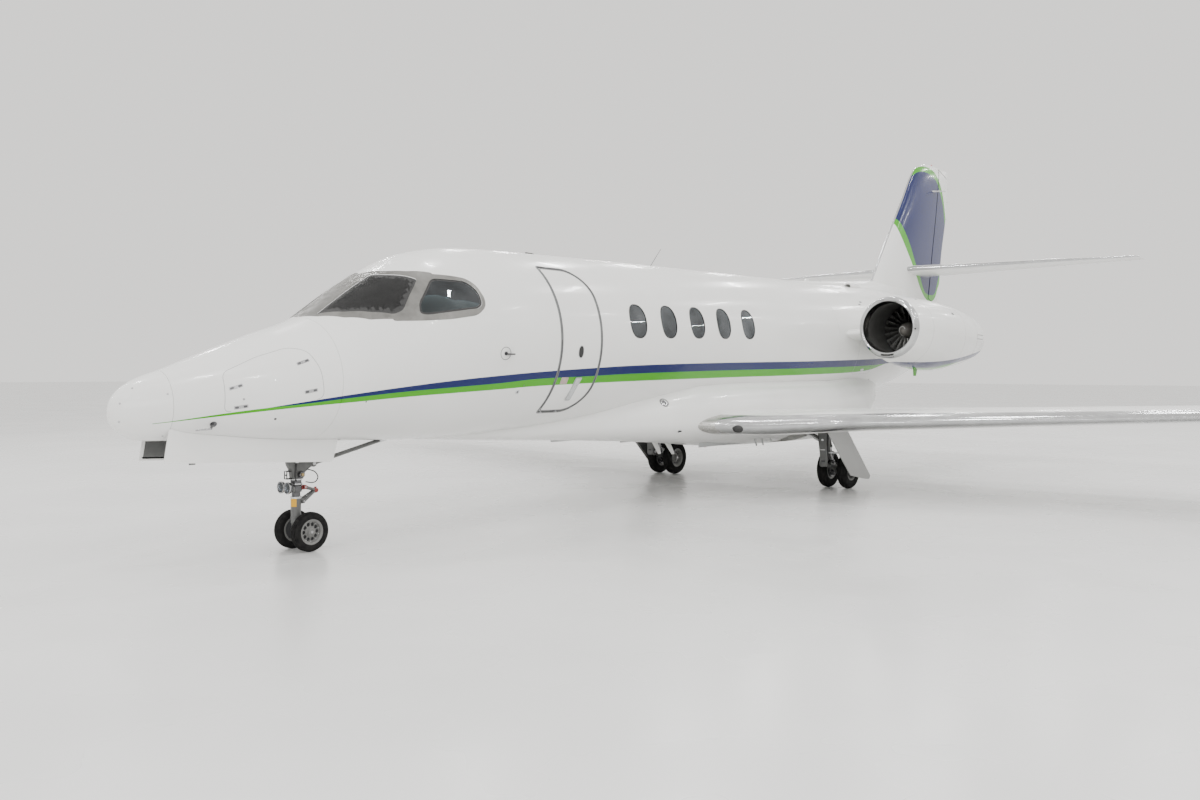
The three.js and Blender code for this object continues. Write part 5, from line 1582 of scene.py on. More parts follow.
def nacelle_details():
    """Panel joints, latches, the slot under the lip, the drain mast and small vents."""
    circle, length, latches = spread(-180, 180, 72), spread(12.02, 13.42, 24), (12.2, 12.55, 12.9, 13.25)
    foot = cowl_spot(12.6, -90).point.z
    mast = [(12.56, foot - 0.11), (12.63, foot - 0.11), (12.69, foot + 0.02), (12.54, foot + 0.02)]
    latch, vent = rounded_plate(0.03, 0.05, 0.008), superellipse((0, 0), 0.05, 0.022, 2.5, 28)
    dot = superellipse((0, 0), 0.018, 0.018, 2, 20)
    return [
        *[cowl_line([(station, a) for a in circle]) for station in (12.02, 13.42)],
        *[cowl_line([(s, angle) for s in length]) for angle in (-90, 148)],
        cowl_line([(11.5, a) for a in spread(-116, -78, 12)], 0.02, DARK),
        cowl_line([(14.2, a) for a in circle], 0.008),
        *[plate("latch", cowl_spot(s, -90), latch, -0.001, 0.0015, SATIN) for s in latches],
        prism("mast", mast, "x", ENGINE["x"] - 0.01, ENGINE["x"] + 0.01, [GREEN_PAINT]),
        plate("vent", cowl_spot(13.05, 35), vent, -0.001, 0.001, DARK),
        plate("dot", cowl_spot(11.98, 62), dot, -0.001, 0.001, DARK),
    ]


# Landing gear. A wheel pair's axle, and each wheel's place beside it
NOSE_AXLE = {"station": 1.845, "z": 0.192, "tyre": 0.192, "width": 0.105, "spread": 0.145, "rim": 0.115}
MAIN_AXLE = {"station": 10.13, "z": 0.28, "tyre": 0.28, "width": 0.146, "spread": 0.1635, "rim": 0.145}
GEAR_X = 1.61
LEG_Y = 1.785
STEER_TOP = 0.64
WHEEL_HOLES = 10
GROOVE = {"places": (-0.62, -0.2, 0.2, 0.62), "width": 0.0075, "depth": 0.006}


def tyre_section(axle, power=2.7):
    """Half-round walls from bead to bead, and a crowned tread with four grooves: (radius, along)."""
    rim, radius, half = axle["rim"], axle["tyre"], axle["width"] / 2
    middle, reach = (rim + radius) / 2, (radius - rim) / 2

    def crown(along):
        return middle + reach * (1 - abs(along / half) ** power) ** (1 / power)

    edge, wide = 0.86 * half, GROOVE["width"] / 2
    grooves = [place * half for place in GROOVE["places"]]
    marks = spread(-edge, edge, 28)
    for groove in grooves:
        marks = [m for m in marks if abs(m - groove) > wide + 0.001]
        marks += [groove - wide, groove - wide + 0.001, groove + wide - 0.001, groove + wide]
    tread = []
    for mark in sorted(marks):
        sunk = any(abs(mark - groove) < wide - 0.0005 for groove in grooves)
        tread.append((crown(mark) - (GROOVE["depth"] if sunk else 0.0), mark))
    start = math.asin(((crown(edge) - middle) / reach) ** (power / 2))
    wall = []
    for angle in spread(start, math.radians(-62), 18)[1:]:
        c, s = math.cos(angle), math.sin(angle)
        wall.append((middle + math.copysign(abs(s) ** (2 / power), s) * reach, half * abs(c) ** (2 / power)))
    other = [(r, -along) for r, along in reversed(wall)]
    section = [*other, *tread, *wall]
    return [*section, section[0]]


# One wheel from its cap over the dished web, the flanges and the barrel, to its inner side
HUB_SECTION = [
    (0.0, 0.92), (0.24, 0.92), (0.29, 0.86), (0.31, 0.62), (0.36, 0.56), (0.38, 0.36), (0.46, 0.28),
    (0.78, 0.22), (0.84, 0.34), (0.88, 0.78), (0.93, 0.9), (1.04, 1.0), (1.075, 0.97), (1.08, 0.9),
    (1.03, 0.82), (0.985, 0.74), (0.985, -0.74), (1.03, -0.82), (1.08, -0.9), (1.075, -0.97), (1.04, -1.0),
    (0.92, -0.98), (0.9, -0.9), (0.88, -0.3), (0.84, -0.08), (0.4, -0.06), (0.36, -0.3), (0.0, -0.3),
]


def make_wheel(axle, x, outward, finish):
    """A tyre and its hub, with a ring of holes through the web and tie bolts between them."""
    centre = Vector((x + outward * axle["spread"], axle["station"], axle["z"]))
    direction = Vector((outward, 0, 0))
    rim, half = axle["rim"], axle["width"] * 0.39
    tyre = lathe("tyre", tyre_section(axle), centre, direction, RUBBER, 96)
    hub = lathe("hub", [(r * rim, along * half) for r, along in HUB_SECTION], centre, direction, finish, 72)
    holes, bolts = [], []
    for turn in turns(WHEEL_HOLES):
        spoke = Vector((0, math.cos(turn), math.sin(turn)))
        start = centre + spoke * rim * 0.64
        ends = start - direction * half * 0.5, start + direction * half * 0.8
        holes.append(rod("hole", *ends, rim * 0.165, DARK, sides=20))
        turn += math.pi / WHEEL_HOLES
        spoke = Vector((0, math.cos(turn), math.sin(turn)))
        start = centre + spoke * rim * 0.8 + direction * half * 0.2
        bolts.append(rod("bolt", start, start + direction * 0.011, rim * 0.042, STEEL, sides=6))
    cut(hub, merged("holes", holes))
    # A dark disc inside the hub, seen through the web's holes: painted shade inside the wheel
    painted_shade = [(0.84 * rim, 0), (0.84 * rim, 0.004), (0.1 * rim, 0.004), (0.1 * rim, 0), (0.84 * rim, 0)]
    corners = ((0.94, 0.92), (1.04, 1.03), (1.085, 0.99), (1.085, 0.9), (0.94, 0.92))
    flange = [(r * rim, along * half) for r, along in corners]
    nut = centre + direction * half * 0.9, centre + direction * (half * 0.9 + 0.008)
    return [
        tyre, hub,
        lathe("painted_shade", painted_shade, centre - direction * half * 0.32, direction, DARK, 48),
        lathe("flange", flange, centre, direction, finish, 72),
        rod("nut", *nut, rim * 0.12, STEEL, sides=6),
        *bolts,
    ]


def beam(rows, x=0, power=4.0):
    """A cast form through levels: z, half width in x, front station, rear station."""
    rings = []
    for z, half, start, end in rows:
        outline = superellipse((x, (start + end) / 2), half, (end - start) / 2, power, 32)
        rings.append([(u, v, z) for u, v in outline])
    return loft("beam", rings, [GEAR_PAINT])


def lug(centre, radius, half):
    """A round eye across x, with a bolt head at either end."""
    x, y, z = centre
    parts = [crossbar("eye", centre, half, radius, GEAR_PAINT)]
    for sign in (1, -1):
        start = x + sign * half
        parts.append(rod("head", (start, y, z), (start + sign * 0.008, y, z), radius * 0.55, STEEL, sides=6))
    return parts


def brace_z(station):
    """Height of the drag brace, which rises from the leg to the belly behind the bay."""
    return 0.803 + 0.2316 * (station - 1.825)


NOSE_CASTING = (
    (0.7, 0.045, 1.728, 1.85), (0.76, 0.05, 1.722, 1.868), (0.8, 0.055, 1.71, 1.92),
    (0.832, 0.06, 1.69, 1.985), (0.87, 0.06, 1.68, 2.0), (1.12, 0.06, 1.68, 2.0),
)
# Hoses: their points, and their radius
NOSE_HOSES = (
    ([(0.05, 1.87, 0.79), (0.04, 1.93, 0.775), (0.03, 1.985, 0.75), (0.02, 2.018, 0.70), (0.02, 1.995, 0.66),
      (0.03, 1.94, 0.652), (0.03, 1.875, 0.665)], 0.0055),
    ([(0.055, 1.76, 1.1), (0.072, 1.75, 0.96), (0.069, 1.745, 0.84), (0.058, 1.74, 0.74),
      (0.066, 1.745, 0.68)], 0.007),
)


def make_nose_leg():
    parts = [
        beam(NOSE_CASTING),
        rod("sleeve", (0, LEG_Y, STEER_TOP + 0.002), (0, LEG_Y, 0.72), 0.052, DARK_METAL),
        rod("ring", (0, LEG_Y, STEER_TOP + 0.002), (0, LEG_Y, STEER_TOP + 0.022), 0.06, STEEL),
        rod("ring", (0, LEG_Y, 0.69), (0, LEG_Y, 0.702), 0.057, SATIN),
        crossbar("trunnion", (0, LEG_Y, 1.12), 0.205, 0.046, STEEL),
        block("crown", (-0.075, LEG_Y - 0.075, 1.08), (0.075, LEG_Y + 0.075, 1.29), GEAR_PAINT, 0.02),
        *lug((0, 1.955, 0.84), 0.034, 0.05),
        crossbar("bar", (0, 2.42, brace_z(2.42)), 0.03, 0.009, SATIN),
    ]
    for sign in (1, -1):
        x, bearing = sign * 0.024, sign * 0.15
        low, high = (bearing - 0.02, LEG_Y - 0.06, 1.06), (bearing + 0.02, LEG_Y + 0.06, 1.29)
        parts += [
            rod("brace", (x, 1.95, brace_z(1.95)), (x, 2.86, brace_z(2.86)), 0.015, GEAR_PAINT),
            rod("brace_end", (x, 2.76, brace_z(2.76)), (x, 2.86, brace_z(2.86)), 0.019, SATIN),
            rod("jack", (sign * 0.032, 1.86, 0.9), (sign * 0.032, 2.09, 1.19), 0.012, CHROME),
            block("bearing", low, high, GEAR_PAINT, 0.012),
        ]
    # A small frame in front of the leg, and the hoses beside it
    corners = ((1.725, 0.705), (1.672, 0.705), (1.672, 0.778), (1.72, 0.778))
    for x in (-0.02, 0.02):
        parts.append(tube("lever", [(x, y, z) for y, z in corners], 0.006, BLACK, smooth=False))
    parts.append(crossbar("lever", (0, 1.672, 0.742), 0.02, 0.006, BLACK))
    parts += [tube("hose", points, radius, BLACK) for points, radius in NOSE_HOSES]
    for z in (0.98, 0.86):
        parts.append(block("clip", (0.055, 1.735, z), (0.078, 1.765, z + 0.014), SATIN, 0.002))
    parts += side_box(0.06, 1.8, 0.745)
    piece(merged("nose_leg_casting", parts), stands_for=["nose_leg"])


def side_box(x, y, z):
    """A little gearbox with bolts, on the leg's side."""
    parts = [
        rod("motor", (x - 0.015, y, z), (x + 0.03, y, z), 0.03, DARK_METAL),
        rod("motor", (x + 0.03, y, z), (x + 0.042, y, z), 0.016, BRASS),
    ]
    for angle in turns(6):
        start = Vector((x + 0.03, y + 0.023 * math.cos(angle), z + 0.023 * math.sin(angle)))
        parts.append(rod("screw", start, start + Vector((0.004, 0, 0)), 0.0035, STEEL, sides=6))
    return parts


LAMP = {"x": 0.057, "start": 1.65, "end": 1.70, "z": 0.622, "radius": 0.058}


def make_lamp(x):
    """A round lamp that faces forwards: a can, its rim, a bowl and a ribbed lens."""
    depth = LAMP["end"] - LAMP["start"]
    can = [(0.9, 0.012), (1, 0.0), (1, 0.012), (0.94, 0.018), (0.9, depth * 0.6), (0.5, depth), (0.0, depth)]
    rim = [(0.9, -0.001), (1.01, -0.001), (1.01, 0.008), (0.9, 0.008), (0.9, -0.001)]
    bowl = [
        (0.9, 0.004), (0.75, 0.016), (0.4, 0.032), (0.0, 0.036), (0.0, 0.038), (0.42, 0.035), (0.77, 0.019),
        (0.92, 0.006), (0.9, 0.004),
    ]
    lens = [(0.0, 0.001), (0.5, 0.0015), (0.91, 0.006), (0.91, 0.009), (0.0, 0.006)]
    parts = []
    for profile, material in ((can, DARK_METAL), (rim, STEEL), (bowl, STEEL), (lens, LENS)):
        profile = [(LAMP["radius"] * share, along) for share, along in profile]
        parts.append(lathe("lamp", profile, (x, LAMP["start"], LAMP["z"]), AFT, material))
    return parts


def torque_links():
    """The links behind the leg, with their red joints."""
    knee, ends = (0, 1.998, 0.572), ((0, 1.846, 0.478), (0, 1.862, 0.617))
    parts = []
    for sign in (1, -1):
        for end in ends:
            foot = Vector(end) + Vector((sign * 0.036, 0, 0))
            top = Vector(knee) + Vector((sign * 0.014, 0, 0))
            parts.append(rod("link", foot, top, 0.017, GEAR_PAINT, 0.012))
    for end in ends:
        web = Vector(end).lerp(Vector(knee), 0.45)
        parts += [crossbar("web", web, 0.028, 0.012, GEAR_PAINT), *lug(end, 0.019, 0.046)]
    return [
        *parts,
        crossbar("pin", knee, 0.034, 0.021, RED),
        rod("knob", (0, 2.004, 0.545), (0, 2.004, 0.604), 0.012, RED),
        crossbar("knob", ends[1], 0.052, 0.019, RED),
    ]


FORK = (
    (0.16, 0.036, 1.766, 1.86), (0.2, 0.042, 1.756, 1.872), (0.27, 0.046, 1.745, 1.85),
    (0.33, 0.05, 1.737, 1.835),
)
BAND = [(0.0488, 0), (0.0505, 0.002), (0.0505, 0.018), (0.0488, 0.02)]


def yellow_mark(radius=0.0512, inner=0.97):
    """A patch of paint on the front of the leg's tube."""
    bend = spread(math.radians(-98), math.radians(-26), 12)
    outer_rows = [
        [(radius * math.cos(a), LEG_Y + radius * math.sin(a), z) for a in bend] for z in (0.432, 0.525)
    ]
    rings = [
        row + [(x * inner, LEG_Y + (y - LEG_Y) * inner, z) for x, y, z in reversed(row)]
        for row in outer_rows
    ]
    return loft("mark", rings, [YELLOW])


def make_nose_fork():
    station, z = NOSE_AXLE["station"], NOSE_AXLE["z"]
    parts = [
        rod("collar", (0, LEG_Y, 0.572), (0, LEG_Y, STEER_TOP - 0.002), 0.056, DARK_METAL),
        rod("piston", (0, LEG_Y, 0.52), (0, LEG_Y, 0.58), 0.041, DARK_METAL),
        rod("tube", (0, LEG_Y, 0.27), (0, LEG_Y, 0.528), 0.049, GEAR_PAINT),
        rod("lip", (0, LEG_Y, 0.51), (0, LEG_Y, 0.53), 0.055, SATIN),
        beam(FORK, power=3.0),
        crossbar("axle", (0, station, z), 0.074, 0.041, GEAR_PAINT),
    ]
    for x in (-0.074, 0.074):
        parts.append(rod("spacer", (x, station, z), (x + math.copysign(0.012, x), station, z), 0.032, CHROME))
    parts += [
        *torque_links(),
        block("bracket", (-0.03, 1.81, 0.59), (0.03, 1.87, 0.634), RED, 0.006),
        block("low_lug", (-0.03, 1.82, 0.455), (0.03, 1.855, 0.5), GEAR_PAINT, 0.006),
        lathe("band", BAND, (0, LEG_Y, 0.508), (0, 0, 1), GEAR_WHITE),
        yellow_mark(),
    ]
    # Lamps on the collar
    for sign in (1, -1):
        x = sign * LAMP["x"]
        parts += make_lamp(x)
        foot = (x, LAMP["end"] - 0.02, LAMP["z"])
        parts.append(rod("arm", foot, (x * 0.5, 1.745, 0.61), 0.014, GEAR_PAINT))
    parts += [
        block("yoke", (-0.085, 1.70, 0.582), (0.085, 1.722, 0.632), GEAR_PAINT, 0.006),
        rod("tow", (0, 1.752, 0.19), (0, 1.772, 0.19), 0.022, STEEL),
    ]
    piece(merged("nose_steering_unit", parts), "nose_steering", stands_for=["nose_fork"])


def wheel_pair(axle, x, finish, sleeve):
    """Two wheels and the sleeves between them: the sleeves' start, end and radius."""
    station, z = axle["station"], axle["z"]
    start, end, radius = sleeve
    parts = [part for outward in (1, -1) for part in make_wheel(axle, x, outward, finish)]
    for sign in (1, -1):
        ends = (x + sign * start, station, z), (x + sign * end, station, z)
        parts.append(rod("sleeve", *ends, radius, STEEL))
    return parts


def make_nose_wheels():
    nodes = ["nose_hub", "nose_tyre_left", "nose_tyre_right"]
    pair = merged("nose_wheel_pair", wheel_pair(NOSE_AXLE, 0, HUB_PAINT, (0.09, 0.14, 0.034)))
    piece(pair, "nose_wheels", stands_for=nodes)


NOSE_DOOR = rounded([
    (0.41, 1.25), (0.365, 0.958), (0.93, 0.929), (2.02, 0.863), (2.045, 0.88), (2.095, 1.06), (2.095, 1.25),
], 0.018)


def make_nose_doors():
    """A pair of long doors that hang open beside the bay, with hinges and stiffened insides."""
    hull = body("hull", SKIN, spread(0.3, 2.4, 40), -0.002)
    inner = NOSE_BAY["x"] + 0.006
    parts = [
        prism("door", NOSE_DOOR, "x", inner + 0.003, inner + 0.016, [WHITE_PAINT]),
        prism("rib", offset_outline(NOSE_DOOR, -0.03), "x", inner, inner + 0.004, [GEAR_PAINT]),
    ]
    for station in (0.62, 1.0, 1.4, 1.8):
        low, high = (inner - 0.004, station - 0.03, 0.93), (inner + 0.003, station + 0.03, 1.2)
        parts.append(block("hinge", low, high, GEAR_PAINT, 0.003))
    for part in parts:
        cut(part, hull, keep=True)
    discard(hull)
    twins(merged("nose_door", parts), "nose_door", "nose_gear_door")


def make_nose_bay():
    """Frames, hinge line and pipes under the roof of the nose bay."""
    x = NOSE_BAY["x"] - 0.002
    parts = [
        block("rib", (-x, station, 1.262), (x, station + 0.012, 1.298), GEAR_PAINT, 0.002)
        for station in spread(0.7, 1.55, 4)
    ]
    for x in (-0.19, 0.19):
        parts.append(tube("pipe", [(x, 0.56, 1.27), (x, 1.2, 1.275), (x * 0.98, 1.7, 1.27)], 0.008, STEEL))
    for x in (0.206, -0.206):
        for station in (0.8, 1.3, 2.1):
            parts.append(rod("hinge", (x, station - 0.05, 1.115), (x, station + 0.05, 1.115), 0.008, SATIN))
    piece(merged("nose_bay_fittings", parts))


# The main gear. Offsets across x are outwards from the leg
LEG_CASTING = (
    (0.47, 0.062, 9.635, 9.755), (0.6, 0.068, 9.622, 9.745), (0.8, 0.078, 9.605, 9.735),
    (0.985, 0.092, 9.585, 9.73),
)
LINK_PIVOT = (9.7, 0.4)
LEG_HOSES = (
    ([(0.05, 9.62, 0.97), (0.066, 9.62, 0.8), (0.064, 9.64, 0.6), (0.07, 9.68, 0.47), (0.062, 9.8, 0.44),
      (0.06, 9.98, 0.385), (0.07, 10.08, 0.36)], 0.008),
    ([(-0.04, 9.605, 0.97), (-0.062, 9.61, 0.8), (-0.06, 9.64, 0.6), (-0.068, 9.7, 0.475),
      (-0.06, 9.84, 0.43), (-0.07, 10.06, 0.35)], 0.006),
)


def make_main_leg(side, tag):
    x = side * GEAR_X
    anchor = x - side * 0.6, x - side * 0.49
    parts = [
        rod("post", (x, 9.655, 0.985), (x, 9.695, 0.46), 0.066, GEAR_PAINT, 0.056),
        beam(LEG_CASTING, x, 5),
        crossbar("head", (x, 9.655, 0.95), 0.085, 0.055, STEEL),
        block("mount", (x - 0.095, 9.565, 0.92), (x + 0.095, 9.74, 1.009), GEAR_PAINT, 0.012),
        rod("band", (x, 9.672, 0.77), (x, 9.674, 0.74), 0.066, SATIN),
        rod("band", (x, 9.69, 0.53), (x, 9.692, 0.505), 0.06, SATIN),
        rod("brace", (x, 9.665, 0.72), (x - side * 0.52, 9.65, 0.955), 0.02, SATIN),
        rod("brace", (x, 9.665, 0.735), (x - side * 0.24, 9.658, 0.845), 0.026, GEAR_PAINT),
        rod("strut", (x, 9.68, 0.675), (x - side * 0.5, 9.68, 0.93), 0.009, CHROME),
        mirrored_block("anchor", anchor, (9.602, 9.698), (0.93, 1.009), GEAR_PAINT, 0.01),
    ]
    for sign in (1, -1):
        cheek = x + sign * 0.054
        ends = (cheek + sign * 0.011, *LINK_PIVOT), (cheek + sign * 0.02, *LINK_PIVOT)
        parts += [
            crossbar("cheek", (cheek, *LINK_PIVOT), 0.011, 0.062, GEAR_PAINT),
            rod("bolt", *ends, 0.03, STEEL, sides=6),
            block("cheek_web", (cheek - 0.011, 9.645, 0.4), (cheek + 0.011, 9.75, 0.54), GEAR_PAINT, 0.006),
        ]
    parts += [
        block("front_web", (x - 0.05, 9.636, 0.35), (x + 0.05, 9.66, 0.52), GEAR_PAINT, 0.008),
        block("slot", (x - 0.03, 9.632, 0.42), (x + 0.03, 9.638, 0.445), DARK, 0.002),
        block("mark", (x - 0.036, 9.618, 0.60), (x + 0.036, 9.63, 0.608), CHROME, 0.001),
    ]
    for points, radius in LEG_HOSES:
        parts.append(tube("hose", [(x + side * dx, y, z) for dx, y, z in points], radius, BLACK))
    piece(merged(f"main_leg_unit_{tag}", parts), stands_for=[f"main_leg_{tag}"])


def make_trailing_link(side, tag):
    """The trailing arm with its axle, the shock strut and the brakes."""
    x, station, z = side * GEAR_X, MAIN_AXLE["station"], MAIN_AXLE["z"]
    jack = (x - 0.038, station - 0.048, z - 0.066), (x + 0.038, station + 0.048, z)
    link = [
        rod("arm", (x, *LINK_PIVOT), (x, station - 0.02, z + 0.012), 0.04, GEAR_PAINT, 0.046),
        crossbar("eye", (x, *LINK_PIVOT), 0.04, 0.052, GEAR_PAINT),
        crossbar("axle", (x, station, z), 0.066, 0.057, GEAR_PAINT),
        rod("shock_body", (x, 9.855, 0.642), (x, 9.79, 0.80), 0.034, GEAR_PAINT),
        rod("shock_ring", (x, 9.86, 0.63), (x, 9.852, 0.65), 0.039, SATIN),
        rod("shock_rod", (x, 9.975, 0.35), (x, 9.857, 0.64), 0.021, CHROME),
        crossbar("shock_foot", (x, 9.98, 0.34), 0.035, 0.03, GEAR_PAINT),
        block("jack", *jack, GEAR_PAINT, 0.008),
        rod("cone", (x, station, z - 0.066), (x, station, z - 0.06), 0.016, STEEL),
    ]
    for sign in (1, -1):
        link += brake_parts(Vector((x + sign * 0.066, station, z)), Vector((sign, 0, 0)))
    piece(merged(f"trailing_link_unit_{tag}", link), stands_for=[f"trailing_link_{tag}"])


def make_main_wheels(side, tag):
    pair = wheel_pair(MAIN_AXLE, side * GEAR_X, HUB_METAL, (0.108, 0.15, 0.045))
    nodes = [f"main_hub_{tag}", f"main_tyre_inner_{tag}", f"main_tyre_outer_{tag}"]
    piece(merged(f"main_wheel_pair_{tag}", pair), f"main_wheels_{tag}", stands_for=nodes)


TORQUE_PLATE = [(0.05, 0.0), (0.098, 0.004), (0.104, 0.012), (0.104, 0.022), (0.05, 0.022), (0.05, 0.0)]
BRAKE_DISC = [(0.06, 0.024), (0.118, 0.024), (0.118, 0.034), (0.06, 0.034), (0.06, 0.024)]


def brake_parts(centre, direction):
    """A brake's housing, its ring of pistons and the first of its discs."""
    parts = [
        lathe("torque_plate", TORQUE_PLATE, centre, direction, DARK_METAL, 48),
        lathe("disc", BRAKE_DISC, centre, direction, STEEL, 48),
    ]
    for i in range(6):
        angle = math.tau * (i + 0.5) / 6
        foot = centre + Vector((0, math.cos(angle), math.sin(angle))) * 0.082
        ends = foot - direction * 0.012, foot + direction * 0.006
        parts.append(rod("cylinder", *ends, 0.014, GEAR_PAINT, sides=16))
    return parts


LEG_DOOR = rounded([
    (9.23, 0.885), (9.86, 0.885), (10.64, 0.16), (10.60, 0.11), (10.42, 0.13), (9.96, 0.215),
], 0.03)


def make_leg_door(side, tag):
    """The door that hangs outside the main leg, on its stay."""
    x = side * GEAR_X
    inner = x + side * 0.272
    pan = offset_outline(LEG_DOOR, -0.035)
    parts = [
        # The outer face is grey: painted shade
        prism("door", LEG_DOOR, "x", *sorted((inner, x + side * 0.286)), [DOOR_SHADE_GREY]),
        prism("pan", pan, "x", *sorted((inner, inner - side * 0.004)), [GEAR_PAINT]),
    ]
    for start, end in (((9.5, 0.84), (10.08, 0.26)), ((9.72, 0.84), (10.28, 0.26))):
        parts.append(rod("stiffener", (inner, *start), (inner, *end), 0.007, GEAR_PAINT))
    stays = ((9.683, 9.76, 0.56), (9.668, 9.64, 0.80))
    for start, end, z in stays:
        parts.append(rod("stay", (x + side * 0.05, start, z), (inner, end, z), 0.012, SATIN))
    for _, y, z in stays:
        box = (inner, inner - side * 0.02), (y - 0.03, y + 0.03), (z - 0.03, z + 0.03)
        parts.append(mirrored_block("fitting", *box, GEAR_PAINT, 0.004))
    piece(merged(f"leg_door_{tag}", parts), stands_for=[f"main_gear_door_{tag}"])


def make_main_gear(side, tag):
    make_main_leg(side, tag)
    make_trailing_link(side, tag)
    make_main_wheels(side, tag)
    make_leg_door(side, tag)


def make_wells(side, tag):
    """Ribs and pipes in the roof of the main wheel well and the leg well."""
    parts = []
    ends = side * (WHEEL_BAY["inner"] + 0.002), side * (WHEEL_BAY["outer"] - 0.002)
    for station in spread(9.9, 10.36, 3):
        box = ends, (station, station + 0.012), (0.926, 0.949)
        parts.append(mirrored_block("rib", *box, GEAR_PAINT, 0.002))
    for k in range(3):
        x = side * (0.52 + 0.16 * k)
        path = [(x, 9.8, 0.938), (x + side * 0.03, 10.1, 0.936), (x, 10.46, 0.938)]
        parts.append(tube("pipe", path, 0.007, STEEL))
    length = LEG_BAY["start"] + 0.002, LEG_BAY["end"] - 0.002
    for x in (1.2, 1.38):
        box = (side * x, side * (x + 0.012)), length, (0.985, 1.009)
        parts.append(mirrored_block("rib", *box, GEAR_PAINT, 0.002))
    piece(merged(f"wheel_well_fittings_{tag}", parts))


def make_landing_gear():
    make_nose_leg()
    make_nose_fork()
    make_nose_wheels()
    make_nose_doors()
    make_nose_bay()
    both(make_main_gear)
    both(make_wells)


# Small things on the skin: antennas, probes, vents, seams and lamps


def both_sides(made):
    return [made, copied(made, made.name + "_mirror", mirror=True)]


def blade(name, base, height, chord, sweep, material, thick=0.12):
    """A thin swept blade on a point. It stands up from it, or hangs where the height is negative."""
    x, y, z = base
    rings = []
    for part, share in ((0.0, 1.0), (0.5, 0.8), (0.9, 0.62), (1.0, 0.45)):
        length, start, level = chord * share, y + sweep * part, z + height * part
        rings.append([(x + v * length, start + u * length, level) for u, v in aerofoil(thick, 0, 8)])
    return loft(name, rings if height > 0 else rings[::-1], [material])


def disc(name, spot, radius, material, height=0.004):
    return plate(name, spot, superellipse((0, 0), radius, radius, 2.0, 28), -0.006, height, material, 0.001)


def turned(outline, degrees):
    c, s = math.cos(math.radians(degrees)), math.sin(math.radians(degrees))
    return [(u * c - v * s, u * s + v * c) for u, v in outline]


# Nose hatches: their edge as (station, z), and the latches on them
NOSE_HATCH = rounded([
    (0.80, 1.385), (0.803, 1.54), (0.81, 1.73), (1.115, 1.873), (1.394, 1.963), (1.54, 1.94), (1.607, 1.772),
    (1.618, 1.64), (1.63, 1.50),
], 0.06)
LATCHES = ((0.894, 1.607), (0.933, 1.432), (1.473, 1.831), (1.511, 1.567))
LATCH_TILT = 12


def make_nose_hatches():
    seam = [side_spot(1, y, z) for y, z in dense(NOSE_HATCH, 0.02, closed=False)]
    parts = both_sides(ribbon("hatch_seam", seam, 0.004, SEAM, 0.0006))
    for y, z in LATCHES:
        spot = side_spot(1, y, z)
        outline = turned(rounded_plate(0.06, 0.015, 0.006), LATCH_TILT)
        parts += both_sides(plate("latch", spot, outline, -0.004, 0.0015, STEEL))
        for end in (-0.036, 0.036):
            bolt = turned(superellipse((end, 0), 0.016, 0.010, 4, 16), LATCH_TILT)
            parts += both_sides(plate("latch_end", spot, bolt, 0.0, 0.0028, DARK_METAL, 0.0006))
    parts += both_sides(disc("lock", side_spot(1, 0.95, 1.5), 0.009, STEEL))
    piece(merged("nose_hatches", parts))


VANE = {"station": 3.62, "z": 1.94}
# Small ports: station, z and radius
PORTS = ((1.246, 1.317, 0.012), (3.929, 1.528, 0.013), (3.99, 1.6, 0.008), (2.05, 1.46, 0.008))


def make_probes():
    """Pitot tubes low on the nose, vanes below the windshield, and small ports."""
    parts = []
    for side, _ in SIDES:
        base = side_spot(side, 0.745, 1.284)
        parts.append(disc("pitot_base", base, 0.03, DARK_METAL, 0.005))
        foot, tip = base.at(0, 0, -0.01), base.at(0, 0, 0.06)
        head = (tip[0], tip[1] - 0.035, tip[2])
        nose = (tip[0], tip[1] - 0.17, tip[2] - 0.008)
        parts.append(rod("pitot_mast", foot, head, 0.014, DARK_METAL, 0.010))
        parts.append(rod("pitot_tube", head, nose, 0.009, STEEL, 0.0065))
        station, z = VANE["station"], VANE["z"]
        vane = side_spot(side, station, z)
        angles = spread(0, math.tau, 41)[:-1]
        circle = [side_spot(side, station + 0.07 * math.cos(a), z + 0.066 * math.sin(a)) for a in angles]
        parts.append(ribbon("vane_ring", circle, 0.006, DARK_METAL, 0.0008, True))
        parts.append(disc("vane_hub", vane, 0.021, DARK_METAL, 0.008))
        root = Vector(vane.at(0, 0, 0.03))
        low, high = root + Vector((-0.028, -0.002, -0.012)), root + Vector((0.028, 0.085, 0.004))
        parts.append(block("vane", low, high, DARK_METAL, 0.001))
        for y, height, radius in PORTS:
            parts.append(disc("port", side_spot(side, y, height), radius, DARK_METAL, 0.0015))
        parts.append(disc("port_plate", side_spot(side, 3.929, 1.528), 0.03, SATIN, 0.0008))
    piece(merged("probes", parts))


def fin_blade(side):
    """A swept blade that stands out from the fin's side, near its tip."""
    root, tip = Vector((side * 0.05, 17.72, 5.79)), Vector((side * 0.3, 17.98, 5.8))
    rings = []
    for part, chord in ((0.0, 0.2), (0.6, 0.14), (1.0, 0.07)):
        spot = root.lerp(tip, part)
        rings.append([(spot.x, spot.y + u * chord, spot.z + v * chord) for u, v in aerofoil(0.14, 0, 8)])
    return loft("fin_blade", rings if side > 0 else rings[::-1], [WHITE_PAINT])


